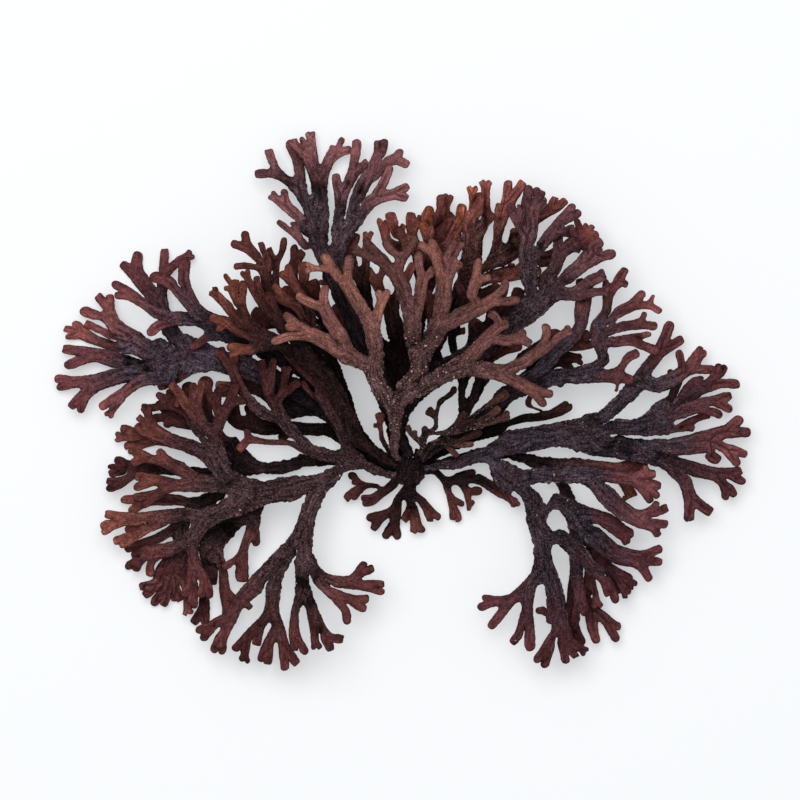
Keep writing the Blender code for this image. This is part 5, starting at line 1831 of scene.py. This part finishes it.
def new_material(name):
    """A new material, its shader, its nodes and the place in millimetres that they read."""
    material = bpy.data.materials.new(name)
    material.use_nodes = True
    t = Nodes(material.node_tree)
    place = t.millimetres(t.add("ShaderNodeTexCoord").outputs["Object"])
    return material, material.node_tree.nodes["Principled BSDF"], t, place


def tinted(colour, tint):
    return (*(part * share for part, share in zip(colour, tint)), 1.0)


def blade_material(look):
    """Dried blade: dark stem, redder tips, grey patches that are partly a powdery film and partly painted
    sheen, fine mottling, painted shade in the creases, at the edges and inside the bunch, a painted highlight
    on the stems' edges, and grain in the bump.
    """
    name = "blade_" + look["name"]
    if name in bpy.data.materials:
        return bpy.data.materials[name]
    material, shader, t, place = new_material(name)
    flat = t.scaled(t.add("ShaderNodeUVMap", uv_map="UVMap").outputs[0], 100.0)
    marks = [t.add("ShaderNodeAttribute", attribute_name=mark) for mark in ("edge", "tip", "tone", "painted_shading")]
    edge, tip, tone, painted_shading = (mark.outputs["Fac"] for mark in marks)
    broad = t.noise(place, 0.11, 2.0)
    patch = t.swing(place, 0.5, 3.0, 0.6)
    grit = t.swing(place, 2.1, 2.0, 0.8)
    lines = t.swing(t.vector("MULTIPLY", flat, (0.15, 1.15, 1.0)), 1.0, 3.0, 0.6)
    ripe = t.ramp(t.line(patch, 3.0, tip), look["reach"], 0.0)
    back = t.add("ShaderNodeSeparateXYZ", {0: place}).outputs[1]
    warmth = t.plus(t.line(broad, 1.6, tone), t.ramp(back, -45.0, -5.0, -0.5, 0.25))
    warmth = t.ramp(warmth, *look["warmed"])
    colours = bpy.context.scene.moss_colours
    ends = t.mix(warmth, tinted(look["tip"], colours.tips), tinted(look["warm"], colours.tips))
    colour = t.mix(ripe, tinted(look["stem"], colours.stems), ends)
    # Grey patches on the stems, partly a powdery film and partly painted sheen.
    film_and_sheen = t.ramp(t.line(patch, 0.14, broad), look["film_and_sheen_from"], look["film_and_sheen_from"] + 0.2)
    film_and_sheen = t.times(film_and_sheen, t.line(ripe, -look["film_and_sheen"], look["film_and_sheen"]))
    colour = t.mix(film_and_sheen, colour, tinted(look["film_and_sheen_colour"], colours.stems))
    stem = t.math("SUBTRACT", 1.0, ripe)
    # The painted shade darkens the blade here, and also its specks and pale edges below.
    light = t.times(t.line(tone, 0.92, 0.57), painted_shading)
    mottle = t.swing(t.vector("ADD", place, (5.0, 17.0, 9.0)), 1.05, 2.0, 0.6)
    light = t.shaded(light, patch, 0.42)
    light = t.shaded(light, mottle, t.line(stem, 0.35, 0.3))
    light = t.shaded(light, grit, t.line(stem, 0.15, 0.5))
    # Lighter and darker streaks along the blade, following the bumped wrinkles: partly streaky colour, partly
    # painted light and shade on the wrinkles.
    light = t.shaded(light, lines, t.line(stem, 0.85, 0.4))
    # Darker along the creases: painted shade.
    creases = t.noise(t.vector("MULTIPLY", flat, (0.07, 0.62, 1.0)), 1.0, 2.0, 0.55)
    crease = t.ramp(t.math("ABSOLUTE", t.math("SUBTRACT", creases, 0.5)), 0.0, 0.03)
    # Edges darker: painted shade of their rounding.
    rim = t.line(t.math("POWER", edge, 6.0), look["rim"], 1.0)
    # Small dark specks, strongest on the stems.
    dark_specks = t.ramp(t.noise(place, 2.4, 1.0), 0.34, 0.46, t.line(stem, -0.4, 0.7), 1.0)
    light = t.times(light, t.line(crease, 0.42, 0.62), rim, dark_specks)
    grey = t.add("ShaderNodeCombineColor", {0: light, 1: light, 2: light}).outputs[0]
    colour = t.mix(1.0, colour, grey, "MULTIPLY")
    pepper = t.ramp(t.noise(t.vector("ADD", place, (31.0, 7.0, 3.0)), 2.6, 1.0), 0.6, 0.68)
    pale = t.times(pepper, painted_shading, t.line(stem, 0.7, 0.3), look["pepper"])
    colour = t.mix(pale, colour, (*look["speck"], 1.0))
    # Pale patches along the stems' edges, in the specks' colour: painted highlight.
    edge_highlight = t.times(t.ramp(t.noise(place, 0.7, 2.0), 0.5, 0.62), t.math("POWER", edge, 9.0), stem, painted_shading, 0.7)
    colour = t.mix(edge_highlight, colour, (*look["speck"], 1.0))
    t.join(colour, shader.inputs["Base Color"])
    t.join(t.line(patch, 0.1, 0.7), shader.inputs["Roughness"])
    shader.inputs["Specular IOR Level"].default_value = 0.04
    dents = t.swing(place, 0.9, 2.0)
    relief = t.plus(t.times(grit, 0.35), t.times(lines, 0.9), t.times(crease, 0.7), t.times(dents, 0.5))
    bump = t.add("ShaderNodeBump", {"Strength": 1.0, "Distance": 0.0002, "Height": relief})
    t.join(bump.outputs[0], shader.inputs["Normal"])
    return material


def grain_material():
    """Salt and sand: small grains, from sandy to pale salt."""
    material, shader, t, place = new_material("salt_grain")
    shade = t.noise(place, 0.9, 1.0)
    sand, salt = (0.15, 0.075, 0.062, 1.0), (*bpy.context.scene.moss_colours.salt, 1.0)
    t.join(t.mix(t.ramp(shade, 0.4, 0.66), sand, salt), shader.inputs["Base Color"])
    shader.inputs["Roughness"].default_value = 0.45
    return material


# Colours of the stem, the tips, the warmer tips, the grey patches and the pale specks. The grey patches are
# partly a powdery film and partly painted sheen. reach: millimetres from the tips down to the stem's colour.
# Then the grey patches' strength, and from which noise on they show. rim: how the edges darken, painted shade
# of their rounding.
# warmed: from where to where tips turn warm. pepper: strength of the specks.
LOOKS = {
    "crown": dict(stem=(0.074, 0.038, 0.040), tip=(0.200, 0.079, 0.072), warm=(0.235, 0.092, 0.070),
                  film_and_sheen_colour=(0.092, 0.058, 0.064), reach=34.0, film_and_sheen=0.4, film_and_sheen_from=0.5, rim=-0.5,
                  warmed=(1.3, 1.9), pepper=0.6, speck=(0.34, 0.20, 0.165)),
    "red": dict(stem=(0.042, 0.018, 0.018), tip=(0.155, 0.047, 0.041), warm=(0.205, 0.063, 0.040),
                film_and_sheen_colour=(0.060, 0.039, 0.047), reach=16.0, film_and_sheen=0.4, film_and_sheen_from=0.55, rim=-0.5,
                warmed=(1.4, 2.05), pepper=0.4, speck=(0.20, 0.12, 0.10)),
    "maroon": dict(stem=(0.050, 0.026, 0.029), tip=(0.106, 0.031, 0.031), warm=(0.180, 0.056, 0.042),
                   film_and_sheen_colour=(0.062, 0.040, 0.047), reach=21.0, film_and_sheen=0.5, film_and_sheen_from=0.5, rim=-0.5,
                   warmed=(1.25, 1.75), pepper=0.5, speck=(0.22, 0.13, 0.12)),
    "mauve": dict(stem=(0.056, 0.033, 0.040), tip=(0.125, 0.046, 0.053), warm=(0.190, 0.072, 0.074),
                  film_and_sheen_colour=(0.062, 0.044, 0.054), reach=19.0, film_and_sheen=0.5, film_and_sheen_from=0.5, rim=-0.5,
                  warmed=(1.3, 1.8), pepper=0.5, speck=(0.22, 0.15, 0.15)),
    "slate": dict(stem=(0.050, 0.030, 0.039), tip=(0.168, 0.051, 0.056), warm=(0.210, 0.065, 0.060),
                  film_and_sheen_colour=(0.058, 0.044, 0.062), reach=21.0, film_and_sheen=0.8, film_and_sheen_from=0.42, rim=-0.5,
                  warmed=(1.3, 1.9), pepper=0.5, speck=(0.20, 0.14, 0.15)),
    # Near black: painted shade, for the fronds that lie under the others.
    "dark": dict(stem=(0.009, 0.005, 0.005), tip=(0.055, 0.019, 0.018), warm=(0.100, 0.032, 0.026),
                 film_and_sheen_colour=(0.020, 0.013, 0.016), reach=12.0, film_and_sheen=0.3, film_and_sheen_from=0.5, rim=-0.3,
                 warmed=(1.3, 1.9), pepper=0.3, speck=(0.10, 0.06, 0.055)),
    "twig": dict(stem=(0.022, 0.012, 0.012), tip=(0.080, 0.033, 0.030), warm=(0.130, 0.054, 0.043),
                 film_and_sheen_colour=(0.060, 0.039, 0.040), reach=9.0, film_and_sheen=0.3, film_and_sheen_from=0.5, rim=-0.3,
                 warmed=(1.1, 1.6), pepper=0.6, speck=(0.28, 0.17, 0.14)),
    "amber": dict(stem=(0.040, 0.016, 0.014), tip=(0.150, 0.044, 0.037), warm=(0.240, 0.070, 0.029),
                  film_and_sheen_colour=(0.060, 0.036, 0.044), reach=18.0, film_and_sheen=0.3, film_and_sheen_from=0.5, rim=-0.5,
                  warmed=(1.75, 2.15), pepper=0.35, speck=(0.22, 0.12, 0.10)),
}
LOOK_OF = {
    "frond_crown": "crown",
    "frond_inner_top": "red",
    "frond_upper_right_back": "amber",
    "frond_top_back": "amber",
    "frond_top": "mauve",
    "frond_upper_right": "mauve",
    "twig_left": "dark",
    "frond_right": "slate",
    "frond_right_middle": "slate",
}

# Painted shade along each frond: millimetres to its tips, first and last, and the lightness painted at each.
# A frond is painted darker further from its tips, inside the bunch where the shade falls; a value over one
# paints it lighter.
PAINTED_SHADING = {
    "frond_crown": (25.0, 60.0, 0.92, 0.72),
    "frond_top": (20.0, 36.0, 0.98, 0.22),
    "frond_top_left": (11.0, 25.0, 1.0, 0.18),
    "frond_left_cluster": (3.0, 18.0, 0.82, 0.42),
    "frond_inner_top": (3.0, 14.0, 0.95, 0.3),
    "frond_inner_left": (6.0, 20.0, 1.3, 1.2),
    "frond_inner_right": (6.0, 14.0, 2.0, 0.9),
    "frond_upper_left": (38.0, 52.0, 1.0, 0.25),
    "frond_upper_left_mid": (15.0, 25.0, 1.05, 0.2),
    "frond_top_back": (8.0, 20.0, 1.2, 0.35),
    "frond_left": (45.0, 80.0, 1.05, 1.0),
    "frond_left_back": (8.0, 30.0, 1.3, 0.45),
    "frond_right_back": (15.0, 40.0, 1.35, 0.55),
    "frond_upper_right_back": (10.0, 28.0, 1.85, 0.85),
    "frond_upper_right": (30.0, 46.0, 1.15, 0.35),
    "frond_right_middle": (24.0, 45.0, 0.92, 0.55),
    "sprig_low_left": (10.0, 20.0, 1.5, 2.4),
    "sprig_low_middle": (10.0, 20.0, 1.35, 1.4),
    "sprig_low_right": (10.0, 20.0, 1.2, 1.2),
}
for look_name, look_values in LOOKS.items():
    look_values["name"] = look_name

# Worked out once: each frond with its heights, and the blades that hide the sky
settled = {}
canopy = []


def settled_fronds():
    """The fronds and the heights at which their blades lie clear of each other, worked out once."""
    if not settled:
        fronds = [Frond(*row, seed) for seed, row in enumerate(FRONDS, start=1)]
        corners, faces = [], []
        for frond, heights in zip(fronds, keep_apart(fronds)):
            settled[frond.name] = (frond, heights)
            faces += [[len(corners) + corner for corner in face] for face in frond.triangles()]
            corners += [Vector((x, y, heights[s] + lift)) for x, y, lift, s in frond.corners]
        canopy.append(BVHTree.FromPolygons(corners, faces, all_triangles=True))
    return settled


def hidden_sky(place):
    """The share of the sky that the blades above a place hide from it."""
    start = Vector(place) + Vector((0.0, 0.0, SHADE_CLEAR))
    hidden = whole = 0.0
    for lean, looks in SHADE_RINGS:
        up, out = math.cos(math.radians(lean)), math.sin(math.radians(lean))
        for k in range(looks):
            turn = math.tau * (k + 0.5) / looks
            way = Vector((out * math.cos(turn), out * math.sin(turn), up))
            whole += up
            if canopy[0].ray_cast(start, way, SHADE_REACH)[0] is not None:
                hidden += up
    return hidden / whole


def add_fronds(names):
    sizes = bpy.context.scene.moss_sizes
    tree = bpy.data.node_groups.get("moss blades") or blade_tree()
    for name in names:
        frond, heights = settled_fronds()[name]
        look = LOOKS[LOOK_OF.get(name, frond.slot)]
        values = {
            "Level": LEVEL,
            "Thickness": sizes.thickness,
            "Wrinkle height": sizes.wrinkle / MM,
            "Lump height": sizes.lump / MM,
            "Edge curl": sizes.curl / MM,
            "Edge unevenness": sizes.unevenness / MM,
            "Material": blade_material(look),
        }
        piece = made_plain(Sheet(frond, heights).mesh(), name + "_fine", tree, values)
        put_in_place_of(piece, name)


class MossSizes(bpy.types.PropertyGroup):
    thickness: bpy.props.FloatProperty(
        name="Blade thickness", description="Thickness of the blades against the solids",
        default=0.85, min=0.5, max=1.2, subtype="FACTOR")
    wrinkle: bpy.props.FloatProperty(
        name="Wrinkle height", description="Height of the wrinkles along the stems",
        default=0.00022, min=0.0, subtype="DISTANCE", unit="LENGTH")
    lump: bpy.props.FloatProperty(
        name="Lump height", description="Height of the low lumps all over the blades",
        default=0.00007, min=0.0, subtype="DISTANCE", unit="LENGTH")
    curl: bpy.props.FloatProperty(
        name="Edge curl", description="How far the edges bend up and down",
        default=0.00028, min=0.0, subtype="DISTANCE", unit="LENGTH")
    unevenness: bpy.props.FloatProperty(
        name="Edge unevenness", description="How far the edges wander in and out",
        default=0.00018, min=0.0, subtype="DISTANCE", unit="LENGTH")
    grains: bpy.props.FloatProperty(
        name="Salt grains", description="Salt grains for each square millimetre of the crown's stems",
        default=0.8, min=0.0)


class MossColours(bpy.types.PropertyGroup):
    floor: bpy.props.FloatVectorProperty(
        name="Surface", description="Colour of the surface that the bunch lies on",
        default=(0.575, 0.585, 0.595), min=0.0, max=1.0, size=3, subtype="COLOR")
    holdfast: bpy.props.FloatVectorProperty(
        name="Holdfast", description="Colour of the holdfast",
        default=(0.030, 0.015, 0.016), min=0.0, max=1.0, size=3, subtype="COLOR")
    tips: bpy.props.FloatVectorProperty(
        name="Tips", description="Tint over the blades' tips",
        default=(1.0, 1.0, 1.0), min=0.0, max=1.0, size=3, subtype="COLOR")
    stems: bpy.props.FloatVectorProperty(
        name="Stems", description="Tint over the blades' stems",
        default=(1.0, 1.0, 1.0), min=0.0, max=1.0, size=3, subtype="COLOR")
    salt: bpy.props.FloatVectorProperty(
        name="Salt", description="Colour of the palest salt grains",
        default=(0.52, 0.33, 0.27), min=0.0, max=1.0, size=3, subtype="COLOR")


class FrondOperator:
    """Adds some of the fronds."""

    bl_options = {"REGISTER", "UNDO"}
    names = ()

    def execute(self, context):
        add_fronds(self.names)
        return {"FINISHED"}


class MOSS_OT_crown(FrondOperator, bpy.types.Operator):
    """Add the pale frond on top"""

    bl_idname = "moss.crown"
    bl_label = "Pale frond on top"
    names = ("frond_crown",)


class MOSS_OT_fans(FrondOperator, bpy.types.Operator):
    """Add the fans round the top half"""

    bl_idname = "moss.fans"
    bl_label = "Upper fans"
    names = ("frond_top", "frond_top_back", "frond_top_left", "frond_left_cluster", "frond_upper_left",
             "frond_upper_left_mid", "frond_upper_right", "frond_upper_right_back", "frond_right_middle")


class MOSS_OT_sides(FrondOperator, bpy.types.Operator):
    """Add the wide fronds at the left and the right"""

    bl_idname = "moss.sides"
    bl_label = "Side fronds"
    names = ("frond_left", "frond_left_back", "frond_right", "frond_right_back")


class MOSS_OT_inner(FrondOperator, bpy.types.Operator):
    """Add the dark fronds inside the bunch"""

    bl_idname = "moss.inner"
    bl_label = "Inner fronds"
    names = ("frond_inner_top", "frond_inner_left", "frond_inner_right", "frond_inner_up")


class MOSS_OT_small(FrondOperator, bpy.types.Operator):
    """Add the twigs and sprigs round the holdfast"""

    bl_idname = "moss.small"
    bl_label = "Twigs and sprigs"
    names = ("twig_right_upper", "twig_right_lower", "twig_left",
             "sprig_low_left", "sprig_low_middle", "sprig_low_right")


class MOSS_OT_holdfast(bpy.types.Operator):
    """Add the knobbly holdfast"""

    bl_idname = "moss.holdfast"
    bl_label = "Holdfast"
    bl_options = {"REGISTER", "UNDO"}

    def execute(self, context):
        sides, levels = 72, 48
        points, faces = [], []
        shares, widths = zip(*HOLDFAST_PROFILE)
        for level in range(levels + 1):
            share = level / levels
            radius = HOLDFAST_RADIUS * float(np.interp(share, shares, widths))
            for k in range(sides):
                angle = 2 * math.pi * k / sides
                around = Vector((math.cos(angle), math.sin(angle), 0.0))
                spot = around * 2.2 + Vector((0.0, 0.0, share * 2.4))
                ribs = abs(math.sin(0.5 * RIBS * angle + 2.0 * noise.noise(spot)))
                bumps = 0.96 + 0.1 * ribs + 0.26 * noise.noise(spot) + 0.14 * noise.noise(spot * 2.7)
                grown = around * radius * bumps
                rise = share * HOLDFAST_HEIGHT + 0.5 * share**4 * (ribs + noise.noise(spot * 3.1))
                points.append(Vector((grown.x, grown.y, rise)) * MM)
        for level in range(levels):
            for k in range(sides):
                low, on = level * sides + k, level * sides + (k + 1) % sides
                faces.append((low, on, on + sides, low + sides))
        faces.append(tuple(reversed(range(sides))))
        top = len(points)
        points.append(Vector((0.0, 0.0, HOLDFAST_HEIGHT + HOLDFAST_DOME)) * MM)
        faces += [(top - sides + k, top - sides + (k + 1) % sides, top) for k in range(sides)]
        mesh = bpy.data.meshes.new("holdfast_fine")
        mesh.from_pydata(points, [], faces)
        mesh.polygons.foreach_set("use_smooth", [True] * len(mesh.polygons))
        material, shader, t, place = new_material("holdfast")
        fibres = t.noise(t.vector("MULTIPLY", place, (1.1, 1.1, 0.4)), 1.0, 4.0, 0.7)
        base = context.scene.moss_colours.holdfast
        dark, pale = tinted(base, (0.3, 0.3, 0.3)), tinted(base, (3.0, 3.0, 3.0))
        t.join(t.mix(t.ramp(fibres, 0.35, 0.7), dark, pale), shader.inputs["Base Color"])
        shader.inputs["Roughness"].default_value = 0.8
        shader.inputs["Specular IOR Level"].default_value = 0.05
        bump = t.add("ShaderNodeBump", {"Strength": 1.0, "Distance": 0.0006, "Height": fibres})
        t.join(bump.outputs[0], shader.inputs["Normal"])
        mesh.materials.append(material)
        put_in_place_of(linked("holdfast_fine", mesh), "holdfast")
        return {"FINISHED"}


class MOSS_OT_grains(bpy.types.Operator):
    """Strew salt grains over the stems"""

    bl_idname = "moss.grains"
    bl_label = "Salt grains"
    bl_options = {"REGISTER", "UNDO"}

    shares = {"frond_crown": 1.0, "frond_left": 0.1, "frond_right": 0.16, "frond_right_middle": 0.1,
              "frond_upper_right": 0.12, "frond_top_left": 0.1}

    def execute(self, context):
        tree = grain_tree()
        material = grain_material()
        for seed, (name, share) in enumerate(self.shares.items()):
            frond = bpy.data.objects.get(name + "_fine")
            if frond is None:
                raise RuntimeError("The salt grains need the fronds to lie on")
            values = {
                "Grains for each square millimetre": context.scene.moss_sizes.grains * share,
                "Seed": seed,
                "Material": material,
            }
            piece = made_plain(frond.data.copy(), "grains_on_" + name, tree, values)
            if not piece.data.polygons:
                raise RuntimeError("No salt grain lies on " + name)
            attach(piece, "root")
        return {"FINISHED"}


class MOSS_OT_stage(bpy.types.Operator):
    """Add the surface, the soft light and the camera"""

    bl_idname = "moss.stage"
    bl_label = "Stage"
    bl_options = {"REGISTER", "UNDO"}

    def execute(self, context):
        scene = context.scene
        mesh = bpy.data.meshes.new("surface")
        sides = ((-1, -1), (1, -1), (1, 1), (-1, 1))
        corners = [(x * SURFACE_REACH, y * SURFACE_REACH, 0.0) for x, y in sides]
        mesh.from_pydata(corners, [], [(0, 1, 2, 3)])
        material, shader, _, _ = new_material("surface")
        shader.inputs["Base Color"].default_value = (*scene.moss_colours.floor, 1.0)
        shader.inputs["Roughness"].default_value = 0.9
        shader.inputs["Specular IOR Level"].default_value = 0.1
        shader.inputs["Emission Color"].default_value = DAYLIGHT
        shader.inputs["Emission Strength"].default_value = FLOOR_GLOW
        mesh.materials.append(material)
        linked("surface", mesh)
        world = bpy.data.worlds.new("soft light")
        world.use_nodes = True
        sky = world.node_tree.nodes["Background"]
        sky.inputs["Color"].default_value = DAYLIGHT
        sky.inputs["Strength"].default_value = WORLD_LIGHT
        scene.world = world
        light = bpy.data.lights.new("window", "AREA")
        light.shape = "DISK"
        light.size = WINDOW_SIZE
        light.energy = WINDOW_LIGHT
        lamp = linked("window", light)
        lamp.location = WINDOW_AT
        lamp.rotation_mode = "QUATERNION"
        lamp.rotation_quaternion = (-Vector(WINDOW_AT)).to_track_quat("-Z", "Y")
        camera = bpy.data.cameras.new("camera")
        camera.sensor_width = SENSOR
        camera.lens = SENSOR * CAMERA_HEIGHT / VIEW_WIDTH
        camera.clip_start = 0.05
        camera.clip_end = 20.0
        eye = linked("camera", camera)
        eye.location = (VIEW_CENTRE[0] * MM, VIEW_CENTRE[1] * MM, CAMERA_HEIGHT * MM)
        scene.camera = eye
        scene.view_settings.view_transform = "Standard"
        return {"FINISHED"}


OPERATORS = (
    MOSS_OT_crown, MOSS_OT_fans, MOSS_OT_sides, MOSS_OT_inner, MOSS_OT_small,
    MOSS_OT_holdfast, MOSS_OT_grains, MOSS_OT_stage,
)


class MOSS_PT_panel(bpy.types.Panel):
    bl_idname = "MOSS_PT_panel"
    bl_label = "Irish moss"
    bl_space_type = "VIEW_3D"
    bl_region_type = "UI"
    bl_category = "Moss"

    def draw(self, context):
        for group in (context.scene.moss_sizes, context.scene.moss_colours):
            for name in group.__annotations__:
                self.layout.prop(group, name)
        for operator in OPERATORS:
            self.layout.operator(operator.bl_idname)


CLASSES = (MossSizes, MossColours, *OPERATORS, MOSS_PT_panel)


def register():
    for one in CLASSES:
        bpy.utils.register_class(one)
    bpy.types.Scene.moss_sizes = bpy.props.PointerProperty(type=MossSizes)
    bpy.types.Scene.moss_colours = bpy.props.PointerProperty(type=MossColours)


def unregister():
    del bpy.types.Scene.moss_colours
    del bpy.types.Scene.moss_sizes
    for one in reversed(CLASSES):
        bpy.utils.unregister_class(one)


def main():
    register()
    for name in ("crown", "fans", "sides", "inner", "small", "holdfast", "grains", "stage"):
        getattr(bpy.ops.moss, name)()
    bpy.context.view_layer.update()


if __name__ == "__main__":
    main()
